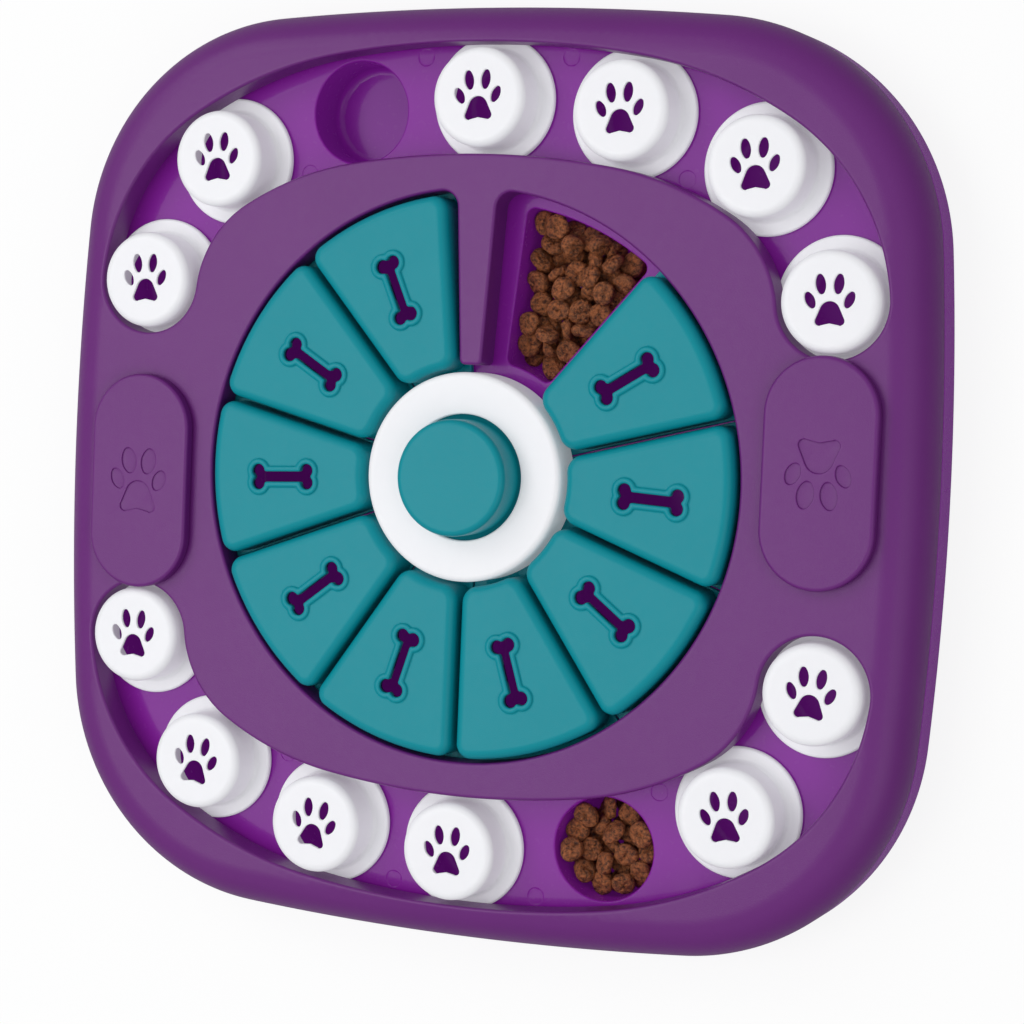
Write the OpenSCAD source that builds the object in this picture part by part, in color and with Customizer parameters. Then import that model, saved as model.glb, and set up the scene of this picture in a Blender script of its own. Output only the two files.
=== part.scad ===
// Dog puzzle feeder: a rounded-square board with two curved tracks of sliding
// knobs, a ring of sliding wedge covers round a squeaker button, and two side
// pads. Millimetres. Origin under the middle of the board, on the floor, +Z up.

/* [Board] */
// Distance from the last well of a track to the side of the board beside it
end_well_inset = 41; // [40.5:0.5:44]
// Distance from the middle well of a track to the side of the board beside it
middle_well_inset = 37.8; // [37.2:0.1:38.4]
// Distance between the centres of a bowed side and of the corner next to it
arc_centre_distance = 1187.5; // [1125:12.5:1225]
// Height of the rubber feet that show below the tray
foot_height = 2; // [1:0.5:4]
// Depth of every food well below the deck
well_depth = 21; // [17:0.5:24]
// Thickness of the well floors
well_floor = 1.8; // [1.4:0.1:2.4]
// Thickness of the well walls
well_wall = 1.8; // [1.4:0.1:2.2]
// Thickness of the deck that the sliders rest on
deck_thickness = 2.2; // [1.8:0.1:3]
// Radius between the wall and the floor of a round well
well_fillet = 3; // [1.5:0.5:5]

/* [Cover] */
// Drop from the deck top to the seam between tray and cover
seam_drop = 4.8; // [4.4:0.2:6]
// Height of the open seam line
seam_gap = 0.4; // [0.2:0.1:0.6]
// Height from the seam to the widest level of the rim
rim_base = 3.5; // [3:0.5:5]
// Radius of the rounded rim
rim_radius = 17.5; // [16.5:0.5:18]
// Thickness of the cover
cover_wall = 2.4; // [2:0.1:2.8]
// Width of the cover between a track and the round opening
track_bridge = 14.1; // [13.6:0.1:16]
// Thickness of the walls that hang round the openings
hanging_wall = 2; // [1.6:0.1:2.4]
// Thickness of the tray skirt
skirt_wall = 2.4; // [2:0.1:3]
// Rounding of the lower edge of the skirt
skirt_rounding = 2; // [1:0.2:2]

/* [Tracks] */
// Radius of the middle arc of a track
middle_arc_radius = 380; // [370:5:400]
// Turn of the middle arc from one well to the next
middle_arc_step = 9.2; // [9:0.1:9.4]
// Radius of the next arc of a track
bend_arc_radius = 154; // [152:1:156]
// Turn of the next arc from one well to the next
bend_arc_step = 22.6; // [22.3:0.1:22.9]
// Radius of the end arc of a track
end_arc_radius = 69; // [68:0.5:70]
// Turn of the end arc from one well to the next
end_arc_step = 52; // [51:0.5:53]
// Radius of the round wells under the knobs
cup_radius = 21.2; // [18:0.2:22]

/* [Knobs] */
// Radius of the top of a knob
knob_radius = 20; // [18.5:0.25:20.5]
// Gap between a knob and the side of its track
knob_track_gap = 2.4; // [1.8:0.1:2.6]
// Reach of a knob flange beyond the side of its track
knob_flange_reach = 3.9; // [3.2:0.1:4.2]
// Thickness of the flanges of knobs and wedges
flange_thickness = 2.6; // [2:0.1:3]
// Height of a knob above the cover
knob_rise = 3.6; // [2:0.2:5]
// Wall thickness of knobs and wedges
slider_wall = 2; // [1.6:0.1:2.2]
// Rounding of the top edge of a knob
knob_rounding = 3.4; // [2.4:0.2:3.6]
// Size of the paw cut-out, 1 is about fifteen millimetres wide
paw_size = 1; // [0.8:0.05:1.05]

/* [Wedges] */
// Turn taken up by the fixed spoke
spoke_angle = 12; // [11.5:0.5:14]
// Width of the spoke where it meets the middle
spoke_tip_width = 9.6; // [9:0.2:10]
// Width of the spoke where it meets the cover
spoke_root_width = 17.8; // [14:0.2:18]
// Radius of the corners between spoke and opening
spoke_fillet = 6.6; // [4:0.2:8]
// Gap between a wedge and the edge of the opening
wedge_outer_gap = 1.8; // [1.4:0.1:2.4]
// Gap between a wedge and the middle ring
wedge_inner_gap = 2; // [1.6:0.1:2.6]
// Gap between the blocks of two wedges
wedge_gap = 2.4; // [1.8:0.1:3]
// Gap between the flanges of two wedges
wedge_flange_gap = 0.6; // [0.5:0.1:0.8]
// Reach of a wedge flange under the cover and under the ring
wedge_flange_reach = 4.8; // [4.2:0.1:5.2]
// Radius of the outer corners of a wedge
wedge_outer_corner = 6; // [4:0.5:8]
// Radius of the inner corners of a wedge
wedge_inner_corner = 7; // [4:0.5:8]
// Height of a wedge above the cover
wedge_rise = 3.4; // [2:0.2:4.6]
// Rounding of the top edges of a wedge
wedge_rounding = 4; // [3:0.2:4.2]
// Length of the bone cut-out
bone_length = 27.8; // [24:0.2:30]
// Width of the bone cut-out across its knuckles
bone_width = 10.5; // [10:0.1:12]
// Width of the bone cut-out at its middle
bone_shaft = 4.2; // [3.6:0.2:5.6]
// Width of the raised bead round the bone
bead_width = 2.3; // [1.6:0.1:2.5]
// Height of the raised bead round the bone
bead_height = 1; // [0.6:0.1:1.3]

/* [Pockets] */
// Gap from the slot edge to the pocket below it
pocket_margin = 4.3; // [4:0.1:6]
// Step inward from the wedge to the pocket at both ends
pocket_step = 3; // [2.6:0.1:5]
// Radius of the corners of a pocket
pocket_corner = 3.4; // [3:0.2:6]

/* [Well trays] */
// Reach of a track tray beyond its opening in the cover, on each side
track_tray_reach = 4.6; // [4.2:0.1:5]
// Reach of the pocket tray beyond the round opening
pocket_tray_reach = 2.8; // [2.4:0.1:3.2]
// Width of the lip that carries each well tray
lip_width = 2; // [1.6:0.1:2.2]
// Thickness of the lip that carries each well tray
lip_thickness = 1.1; // [0.9:0.1:1.3]
// Gap round each well tray and between its halves
tray_gap = 0.3; // [0.2:0.05:0.4]

/* [Middle] */
// Outer radius of the middle ring
ring_radius = 42.4; // [41.6:0.1:43]
// Height of the middle ring above the cover
ring_rise = 3.5; // [2:0.5:6]
// Thickness of the middle ring
ring_wall = 2.3; // [2:0.1:2.6]
// Rounding of the outer edge of the middle ring
ring_rounding = 2.4; // [1:0.2:2.6]
// Radius of the button
button_radius = 23.5; // [22.5:0.1:23.8]
// Height of the button above the ring
button_rise = 12.8; // [9:0.2:16]
// Rounding of the top edge of the button
button_rounding = 2.6; // [1:0.2:4]
// Wall thickness of the button
button_wall = 2; // [1.6:0.1:2.4]
// Gap between the button and the hole in the ring
button_gap = 2; // [1.8:0.1:2.1]
// Reach of the button flange under the ring
button_flange_reach = 2; // [1.5:0.1:2.1]
// Distance that the button can be pressed
button_travel = 5; // [3:0.5:6]
// Outer radius of the squeaker bellows
squeaker_radius = 18; // [14:0.5:20]

/* [Pads] */
// Gap between the round opening and a pad
pad_opening_gap = 9.5; // [9:0.1:10]
// Width of a pad
pad_width = 46; // [43:0.5:47]
// Length of a pad
pad_length = 90.5; // [80:0.5:91]
// Height of a pad
pad_height = 4.8; // [3:0.2:7]
// Gap between the end of a pad and the nearest knob
pad_end_gap = 0.5; // [0.4:0.1:1]
// Rounding of the top edge of a pad
pad_rounding = 1.5; // [0.5:0.1:2]
// Width of the stem under a pad
stem_width = 8; // [6:0.5:10]
// Length of the stem under a pad
stem_length = 30; // [24:1:34]
// Thickness of the keeper plate under the cover
keeper_thickness = 3; // [2:0.2:4]
// Reach of the keeper plate beyond its slot on each side
keeper_reach = 3.6; // [2.6:0.2:5]
// Size of the paw on a pad beside the paw on a knob
pad_paw_scale = 1.46; // [1.3:0.02:1.6]
// Depth of the paw sunk into a pad
pad_paw_depth = 0.7; // [0.4:0.1:1]

/* [Fixings] */
// Radius of a screw shank
screw_radius = 1.5; // [1.2:0.1:1.7]
// Length of a cover screw
screw_length = 12; // [9:0.5:13]
// Radius of a screw head
screw_head_radius = 3; // [2.5:0.1:3.2]
// Height of a screw head
screw_head_height = 2.2; // [1.6:0.1:2.4]
// Outer radius of the screw bosses
boss_radius = 3.6; // [3.2:0.1:3.8]
// Radius of the exposed disc of a foot
foot_radius = 8.5; // [8:0.1:8.8]
// Wall thickness of the posts that hold the feet
post_wall = 2; // [1.6:0.1:2.4]

/* [Hidden] */
$fn = 96;
fine = 360;
epsilon = 0.01;
tangent_overlap = 0.01;
joint_step = 0.02;
joint_overlap = 0.3;

// Clearances that are not meant to be changed
rest_lift = 0.3;
headroom = 0.5;
tongue_gap = 0.3;
shank_clearance = 0.05;
plug_clearance = 0.05;
side_clearance = 0.4;
flange_side_clearance = 0.3;
slot_count = 10;
knob_count = 6;
tray_parts = 5;
quarter = 90;

// Levels above the floor
floor_level = foot_height;
well_bottom = floor_level + well_floor;
deck_top = well_bottom + well_depth;
deck_bottom = deck_top - deck_thickness;
seam_level = deck_top - seam_drop;
rim_level = seam_level + rim_base;
cover_top = rim_level + rim_radius;
cover_bottom = cover_top - cover_wall;
slider_bottom = deck_top + rest_lift;
flange_top = slider_bottom + flange_thickness;
hanging_bottom = flange_top + headroom;
hanging_top = cover_top - cover_wall / 2;
knob_top = cover_top + knob_rise;
wedge_top = cover_top + wedge_rise;
ring_top = cover_top + ring_rise;
button_top = ring_top + button_rise;

// Turn of a track at each stop, and the reach of its arcs to one side
turn_3 = middle_arc_step;
turn_2 = turn_3 + bend_arc_step;
turn_1 = turn_2 + end_arc_step;
track_reach = middle_arc_radius * sin(turn_3)
    + bend_arc_radius * (sin(turn_2) - sin(turn_3))
    + end_arc_radius * (sin(turn_1) - sin(turn_2));
track_half_width = knob_radius + knob_track_gap;
knob_flange_radius = track_half_width + knob_flange_reach;

// The board is as wide as its tracks need, to the nearest fifth of a millimetre
board_width = round(10 * (track_reach + end_well_inset)) / 5;
track_distance = board_width / 2 - middle_well_inset;
opening_radius = track_distance - track_half_width - track_bridge;
pad_distance = opening_radius + pad_opening_gap + pad_width / 2;

// Outline of the board: four bowed sides joined by round corners. The two arcs
// touch where each side has turned by side_turn, whose sine and cosine are the
// exact ratios of the whole-number triangle 237, 3116, 3125.
tangent_sine = 237 / 3125;
tangent_cosine = 3116 / 3125;
side_turn = asin(tangent_sine);
corner_centre = arc_centre_distance * tangent_sine;
side_centre = corner_centre - arc_centre_distance * tangent_cosine;
side_radius = board_width / 2 - side_centre;
corner_radius = side_radius - arc_centre_distance;
corner_turn = quarter - 2 * side_turn;
sweep_overlap = 0.6;
deck_inset = 9;
lid_inset = rim_radius + 4;
sweep_depth = lid_inset + 3;
arc_steps = 12;

// Track points: s4 in the middle, then s3, s2 and the end s1
function heading(turn) = [sin(turn), cos(turn)];
middle_pivot = [0, track_distance - middle_arc_radius];
stop_4 = [0, track_distance];
stop_3 = middle_pivot + middle_arc_radius * heading(turn_3);
bend_pivot = stop_3 - bend_arc_radius * heading(turn_3);
stop_2 = bend_pivot + bend_arc_radius * heading(turn_2);
end_pivot = stop_2 - end_arc_radius * heading(turn_2);
stop_1 = end_pivot + end_arc_radius * heading(turn_1);
function flip(p) = [-p[0], p[1]];
all_stops = [flip(stop_1), flip(stop_2), flip(stop_3), stop_4, stop_3, stop_2, stop_1];
knob_stops = [flip(stop_1), flip(stop_2), stop_4, stop_3, stop_2, stop_1];
back_paw_turns = [2, 4, 3, 3, 4, 2];
front_paw_turns = [-4.5, 6, 0.5, -8, -6.5, 0];

// Wedge ring
slot_pitch = (4 * quarter - spoke_angle) / slot_count;
open_slot_angle = quarter - spoke_angle / 2 - slot_pitch / 2;
wedge_outer = opening_radius - wedge_outer_gap;
wedge_inner = ring_radius + wedge_inner_gap;
wedge_flange_outer = opening_radius + wedge_flange_reach;
wedge_flange_inner = ring_radius - wedge_flange_reach + 0.6;
flange_corner = 1.5;
board_half = board_width / 2;
inner_seam = stop_3[0] / 2;
outer_seam = (stop_2[0] + stop_3[0]) / 2;
well_seams = [-board_half, -outer_seam, -inner_seam, inner_seam, outer_seam, board_half];
pocket_seams = [
    quarter,
    for (i = [1:tray_parts - 1])
        quarter - spoke_angle / 2 - i * slot_pitch * slot_count / tray_parts,
    -3 * quarter
];
pocket_outer = wedge_outer - pocket_step;
pocket_inner = wedge_inner + pocket_step;
spoke_tip = ring_radius + 3;
bone_centre = (wedge_outer + wedge_inner) / 2 + 1.6;
pin_mark_radius = 3.6;
pin_mark_depth = 0.2;
pin_mark_offset = 19;

// Middle ring and button
button_hole = button_radius + button_gap;
button_flange_radius = button_hole + button_flange_reach;
guide_radius = button_flange_radius + flange_side_clearance;
guide_wall = 2;
guide_reach = 6;
guide_bottom = ring_top - ring_wall - button_travel - guide_reach;
button_flange_top = ring_top - ring_wall - 0.3;
button_flange_thickness = 2.5;
ring_boss_circle = wedge_flange_inner - 1.2 - boss_radius;
ring_boss_turns = [30, 150, 270];
plunger_radius = 8;
squeaker_top = button_flange_top - button_flange_thickness - 0.1;
fold_count = 4;
fold_depth = 3.2;

// Pads
pad_offset = stop_1[1] - knob_radius - pad_end_gap - pad_length / 2;
pad_bottom = cover_top + side_clearance;
keeper_top = cover_bottom - side_clearance;
pad_slot_half = stem_length / 2 + pad_offset + side_clearance;
pad_slot_width = stem_width + 2 * side_clearance;
pad_screw_spacing = stem_length / 2 - 6;
pad_screw_length = 9;

// Fixings
inner_land_turn = 47;
inner_land_radius = opening_radius + 16.8;
inner_land = inner_land_radius * [cos(inner_land_turn), sin(inner_land_turn)];
outer_land = [board_half - 38.5, board_half - 50.5];
side_land = [board_half - 22.5, 36];
side_foot = [board_half - 25.5, 0];
spoke_land = [0, opening_radius - 32.2];
post_radius = foot_radius;
plug_radius = post_radius - post_wall;
plug_height = 6;
pilot_depth = screw_length - deck_thickness + 1;
screw_hole_radius = screw_radius + 0.3;

// ---------------------------------------------------------------- helpers

// Four copies, one in each quarter of the board
module in_corners(p) {
    for (x = [-1, 1], y = [-1, 1])
        translate([x * p[0], y * p[1]])
            children();
}

// Points on one corner of the outline at a given inset
function corner_arc(inset, turn) = [
    for (i = [0:arc_steps])
        let (a = turn + side_turn + corner_turn * i / arc_steps)
        rotated([corner_centre, corner_centre], turn)
            + (corner_radius - inset) * [cos(a), sin(a)]
];

function rotated(p, turn) = [
    p[0] * cos(turn) - p[1] * sin(turn),
    p[0] * sin(turn) + p[1] * cos(turn)
];

// Plan of the board at a given inset, for plates that a swept rim closes
module board_plan(inset) {
    polygon([for (turn = [0:quarter:3 * quarter]) each corner_arc(inset, turn)]);
}

// Sweeps a section round the outline. The section lies at x <= 0, where
// x = 0 is the outline itself. Each arc is swept in two halves that start at
// the ends of the arc and run a little past its middle.
module board_sweep() {
    for (turn = [0:quarter:3 * quarter])
        rotate([0, 0, turn]) {
            half_side()
                children();
            mirror([0, 1, 0])
                half_side()
                    children();
            half_corner()
                children();
            mirror([1, -1, 0])
                half_corner()
                    children();
        }
}

module half_side() {
    translate([side_centre, 0, 0])
        rotate([0, 0, -side_turn])
            rotate_extrude(angle = side_turn + sweep_overlap, $fn = 8 * fine)
                translate([side_radius, 0])
                    children();
}

module half_corner() {
    translate([corner_centre, corner_centre, 0])
        rotate([0, 0, side_turn])
            rotate_extrude(angle = corner_turn / 2 + sweep_overlap, $fn = fine)
                translate([corner_radius, 0])
                    children();
}

// A sector of a flat ring, centred on the +Y direction turned by -turn
module ring_sector(radius, half_width, from_turn, to_turn) {
    far = 2 * radius;
    intersection() {
        difference() {
            circle(radius + half_width, $fn = fine);
            circle(radius - half_width, $fn = fine);
        }
        polygon([
            [0, 0],
            far * heading(from_turn),
            far * heading((from_turn + to_turn) / 2),
            far * heading(to_turn)
        ]);
    }
}

// Plan of the back track, widened by a given amount. Each arc is a hair narrower
// than the one before it and runs a little way into it.
module track_plan(grow) {
    half_width = track_half_width + grow;
    translate(middle_pivot)
        ring_sector(middle_arc_radius, half_width, -turn_3, turn_3);
    for (side = [0, 1])
        mirror([side, 0]) {
            translate(bend_pivot)
                ring_sector(
                    bend_arc_radius, half_width - joint_step,
                    turn_3 - joint_overlap, turn_2
                );
            translate(end_pivot)
                ring_sector(
                    end_arc_radius, half_width - 2 * joint_step,
                    turn_2 - joint_overlap, turn_1
                );
            translate(stop_1)
                circle(half_width - 3 * joint_step);
        }
}

module both_tracks(grow) {
    for (turn = [0, 2 * quarter])
        rotate(turn)
            track_plan(grow);
}

// Two round ends of different size joined by their outer tangents, along +Y
module drop(low, high, length) {
    lean = asin((low - high) / length);
    near = low - joint_step;
    far = high - joint_step;
    circle(low);
    translate([0, length])
        circle(high);
    polygon([
        [near * cos(lean), near * sin(lean)],
        [far * cos(lean), length + far * sin(lean)],
        [-far * cos(lean), length + far * sin(lean)],
        [-near * cos(lean), near * sin(lean)]
    ]);
}

// The paw: one main pad with an arched foot, and two pairs of toes. A toe is
// listed as the X and Y of its centre, its length, its width and its lean.
lobe_radius = 1.5;
lobe_offset = [4.25, -7.45];
crown_radius = 4;
crown_centre = [0, -4];
arch_rise = 1.1;
toe_tip_share = 0.31;
knob_toes = [[3.6, 6.7, 7.5, 3.8, 8], [7.8, 0.6, 6.5, 3.5, 26]];
pad_toes = [[3.2, 5.75, 7.5, 4.7, 10], [6.85, 0.35, 6.2, 4, 24]];

// The arch is a circle below the lobes that touches both of them
arch_radius = (lobe_offset[0] * lobe_offset[0] + arch_rise * arch_rise)
    / (2 * arch_rise) - lobe_radius;
arch_centre = [0, lobe_offset[1] - lobe_radius + arch_rise - arch_radius];

module palm() {
    reach = crown_centre - lobe_offset;
    touch = lobe_offset + lobe_radius / (arch_radius + lobe_radius)
        * (arch_centre - lobe_offset);
    for (side = [0, 1])
        mirror([side, 0])
            translate(lobe_offset)
                rotate(atan2(-reach[0], reach[1]))
                    drop(lobe_radius, crown_radius, norm(reach));
    difference() {
        polygon([lobe_offset, crown_centre, flip(lobe_offset), flip(touch), touch]);
        translate(arch_centre)
            circle(arch_radius + joint_step, $fn = fine);
    }
}

// Two long arcs, rounded at both tips by circles that touch them from inside
module toe(length, width) {
    tip = toe_tip_share * width;
    reach = length / 2 - tip;
    flank = (width * width / 4 + reach * reach - tip * tip) / (width - 2 * tip);
    level = flank * reach / (flank - tip);
    intersection() {
        translate([flank - width / 2, 0])
            circle(flank - joint_step);
        translate([width / 2 - flank, 0])
            circle(flank - joint_step);
        square([width, 2 * level], center = true);
    }
    for (y = [-reach, reach])
        translate([0, y])
            circle(tip);
}

module paw(toes) {
    palm();
    for (side = [0, 1], t = toes)
        mirror([side, 0])
            translate([t[0], t[1]])
                rotate(-t[4])
                    toe(t[2], t[3]);
}

// The bone: a shaft with two knuckles at each end, along X
module bone(grow) {
    knuckle = 2.8;
    for (x = [-1, 1], y = [-1, 1])
        translate([x * (bone_length / 2 - knuckle), y * (bone_width / 2 - knuckle)])
            circle(knuckle + grow);
    square([bone_length - 2 * knuckle, bone_shaft + 2 * grow], center = true);
    for (x = [-1, 1])
        translate([x * (bone_length / 2 - knuckle), 0])
            square([knuckle, bone_width - 2 * knuckle + 2 * grow], center = true);
}

// One slot of the ring of wedges, centred on +X: the sides keep the distance
// "margin" from the slot edges, and every corner is a true arc.
module slot_plan(inner, outer, margin, inner_corner, outer_corner) {
    far = 2 * outer;
    half = slot_pitch / 2;
    low_x = sqrt(pow(inner + inner_corner, 2) - pow(margin + inner_corner, 2));
    high_x = sqrt(pow(outer - outer_corner, 2) - pow(margin + outer_corner, 2));
    low = [low_x, margin + inner_corner];
    high = [high_x, margin + outer_corner];
    apex = margin / sin(half);
    difference() {
        circle(outer, $fn = fine);
        circle(inner, $fn = fine);
        // everything outside the two sides
        for (side = [0, 1])
            mirror([0, side])
                translate([apex, 0])
                    polygon([
                        [0, 0],
                        far * [cos(half), sin(half)],
                        [0, far],
                        [-far, far],
                        [-far, 0]
                    ]);
        for (side = [0, 1])
            mirror([0, side])
                rotate(-half)
                    slot_corner_cuts(low, high, inner, outer, margin);
    }
    for (side = [0, 1])
        mirror([0, side])
            rotate(-half) {
                translate(low)
                    circle(inner_corner + tangent_overlap);
                translate(high)
                    circle(outer_corner + tangent_overlap);
            }
}

module slot_corner_cuts(low, high, inner, outer, margin) {
    step = 1;
    polygon([
        low,
        [low[0], margin - step],
        [inner - low[1], margin - step],
        low * (inner - step) / norm(low)
    ]);
    polygon([
        high,
        [high[0], margin - step],
        [outer + 2 * high[1], margin - step],
        high * (outer + 2 * high[1]) / norm(high)
    ]);
}

// A solid of revolution with a rounded top edge, given as a half section
module rounded_section(radius, bottom, top, rounding) {
    translate([0, bottom])
        square([radius, top - rounding - bottom]);
    translate([0, bottom])
        square([radius - rounding, top - bottom]);
    intersection() {
        translate([radius - rounding, top - rounding])
            circle(rounding);
        translate([0, bottom])
            square([radius, top - bottom]);
    }
}

module rounded_disc(radius, bottom, top, rounding) {
    rotate_extrude()
        rounded_section(radius, bottom, top, rounding);
}

module disc(radius, bottom, top) {
    translate([0, 0, bottom])
        cylinder(h = top - bottom, r = radius);
}

module slab(bottom, top) {
    translate([0, 0, bottom])
        linear_extrude(top - bottom)
            children();
}

// ---------------------------------------------------------------- tray

module skirt_section() {
    shoulder = skirt_wall + tongue_gap + cover_wall;
    tongue = cover_wall + tongue_gap;
    ledge = seam_level - seam_gap / 2;
    difference() {
        union() {
            translate([-shoulder, ledge - skirt_wall])
                square([shoulder, skirt_wall]);
            translate([-skirt_wall, floor_level])
                square([skirt_wall, ledge - floor_level]);
            translate([-shoulder, ledge - skirt_wall])
                square([skirt_wall, deck_top - ledge + skirt_wall]);
            translate([-deck_inset - 3, deck_bottom])
                square([deck_inset + 3 - tongue, deck_thickness]);
        }
        difference() {
            translate([-skirt_rounding, floor_level - 1])
                square([skirt_rounding + 1, skirt_rounding + 1]);
            translate([-skirt_rounding, floor_level + skirt_rounding])
                circle(skirt_rounding, $fn = fine);
        }
    }
}

module pocket_plan(grow) {
    slot_plan(
        pocket_inner - grow, pocket_outer + grow, pocket_margin - grow,
        pocket_corner + grow, pocket_corner + grow
    );
}

module in_slots() {
    for (i = [0:slot_count - 1])
        rotate([0, 0, open_slot_angle - i * slot_pitch])
            children();
}

module at_cups() {
    for (stop = all_stops)
        translate(stop)
            children();
}

module cup_hollow() {
    rotate_extrude() {
        translate([0, well_bottom])
            square([cup_radius - well_fillet, deck_top + 1 - well_bottom]);
        translate([0, well_bottom + well_fillet])
            square([cup_radius, deck_top + 1 - well_bottom - well_fillet]);
        intersection() {
            translate([cup_radius - well_fillet, well_bottom + well_fillet])
                circle(well_fillet);
            translate([0, well_bottom])
                square([cup_radius, well_fillet]);
        }
    }
}

// Faint round marks that the ejector pins leave on the deck between wells
module pin_marks() {
    for (side = [0, 1])
        mirror([side, 0, 0]) {
            pin_mark(middle_pivot, middle_arc_radius, turn_3 / 2, 1);
            pin_mark(bend_pivot, bend_arc_radius, (turn_3 + turn_2) / 2, -1);
        }
}

module pin_mark(pivot, radius, turn, side) {
    translate(pivot + (radius + side * pin_mark_offset) * heading(turn))
        disc(pin_mark_radius, deck_top - pin_mark_depth, deck_top + 1);
}

// Outer base of the board: a skirt, a deck with three openings and hollow posts
module tray() {
    track_opening = track_tray_reach + tray_gap;
    pocket_opening = opening_radius + pocket_tray_reach + tray_gap;
    rebate = deck_top - lip_thickness;
    color([0.42, 0.18, 0.62])
        difference() {
            union() {
                board_sweep()
                    skirt_section();
                slab(deck_bottom, deck_top)
                    board_plan(deck_inset);
                at_feet()
                    disc(post_radius, floor_level, deck_bottom + epsilon);
            }
            slab(deck_bottom - 1, deck_top + 1)
                both_tracks(track_opening);
            slab(rebate, deck_top + 1)
                both_tracks(track_opening + lip_width);
            disc(pocket_opening, deck_bottom - 1, deck_top + 1, $fn = fine);
            disc(pocket_opening + lip_width, rebate, deck_top + 1, $fn = fine);
            at_feet()
                disc(plug_radius, floor_level - 1, deck_bottom);
            at_cover_screws()
                disc(screw_hole_radius, deck_bottom - 1, deck_top + 1);
        }
}

// Part "i" of a well tray, between two seams across X
module well_part(i) {
    start = well_seams[i - 1] + tray_gap / 2;
    intersection() {
        track_tray();
        translate([start, -board_half, 0])
            cube([well_seams[i] - tray_gap / 2 - start, board_width, cover_top]);
    }
}

// Part "i" of the pocket tray, between two seams that point to its middle
module pocket_part(i) {
    half = (pocket_seams[i - 1] - pocket_seams[i]) / 2;
    corner = board_half * heading(half);
    intersection() {
        pocket_tray();
        rotate([0, 0, pocket_seams[i] + half])
            translate([tray_gap / 2 / sin(half), 0, 0])
                slab(0, cover_top)
                    polygon([
                        [0, 0],
                        [corner[1], -corner[0]],
                        [corner[1], corner[0]]
                    ]);
    }
}

// Curved tray with the seven round wells of the back track
module track_tray() {
    color([0.45, 0.2, 0.65])
        difference() {
            union() {
                slab(deck_bottom, deck_top)
                    track_plan(track_tray_reach);
                slab(deck_top - lip_thickness, deck_top)
                    track_plan(track_tray_reach + lip_width);
                at_cups()
                    disc(cup_radius + well_wall, floor_level, deck_top - epsilon);
            }
            at_cups()
                cup_hollow();
            pin_marks();
        }
}

// Round tray with the ten pockets below the wedges
module pocket_tray() {
    radius = opening_radius + pocket_tray_reach;
    color([0.4, 0.16, 0.58])
        difference() {
            union() {
                disc(radius, deck_bottom, deck_top, $fn = fine);
                disc(radius + lip_width, deck_top - lip_thickness, deck_top, $fn = fine);
                in_slots()
                    slab(floor_level, deck_top - epsilon)
                        pocket_plan(well_wall);
            }
            in_slots()
                slab(well_bottom, deck_top + 1)
                    pocket_plan(0);
            translate(spoke_land)
                disc(screw_hole_radius, deck_bottom - 1, deck_top + 1);
            at_ring_screws()
                disc(screw_hole_radius, deck_bottom - 1, deck_top + 1);
        }
}

// ---------------------------------------------------------------- cover

module rim_section() {
    low = seam_level + seam_gap / 2;
    translate([-rim_radius, rim_level])
        intersection() {
            difference() {
                circle(rim_radius, $fn = fine);
                circle(rim_radius - cover_wall, $fn = fine);
            }
            square(rim_radius);
        }
    translate([-cover_wall, low])
        square([cover_wall, rim_level - low]);
    translate([-sweep_depth, cover_bottom])
        square([sweep_depth - rim_radius, cover_wall]);
}

// Outline of the spoke, made thinner on every side by "shrink"
module spoke_plan(shrink) {
    tip = spoke_tip_width / 2 - shrink;
    root = spoke_root_width / 2 - shrink;
    polygon([
        [-tip, spoke_tip + shrink],
        [tip, spoke_tip + shrink],
        [root, opening_radius],
        [root, opening_radius + spoke_fillet],
        [-root, opening_radius + spoke_fillet],
        [-root, opening_radius]
    ]);
}

// Round corners between the spoke and the opening
spoke_side = [spoke_root_width / 2, opening_radius] - [spoke_tip_width / 2, spoke_tip];
spoke_along = spoke_side / norm(spoke_side);
spoke_outward = [spoke_along[1], -spoke_along[0]];
corner_start = [spoke_tip_width / 2, spoke_tip] + spoke_fillet * spoke_outward;
corner_reach = opening_radius - spoke_fillet;
corner_lead = corner_start * spoke_along;
corner_run = sqrt(
    corner_lead * corner_lead - corner_start * corner_start + corner_reach * corner_reach
) - corner_lead;
spoke_corner = corner_start + corner_run * spoke_along;

// The round opening less its spoke and the corners beside the spoke
module round_opening() {
    radial = spoke_corner / norm(spoke_corner);
    size = spoke_fillet + 2;
    difference() {
        circle(opening_radius, $fn = fine);
        spoke_plan(0);
        at_spoke_corners()
            polygon([
                [0, 0],
                -size * spoke_outward,
                size * (radial - spoke_outward),
                size * radial
            ]);
    }
}

module at_spoke_corners() {
    for (side = [0, 1])
        mirror([side, 0])
            translate(spoke_corner)
                children();
}

module at_cover_screws() {
    in_corners(inner_land)
        children();
    in_corners(outer_land)
        children();
    in_corners(side_land)
        children();
    translate(spoke_land)
        children();
}

module pad_slot() {
    square([pad_slot_width, 2 * pad_slot_half], center = true);
}

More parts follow.
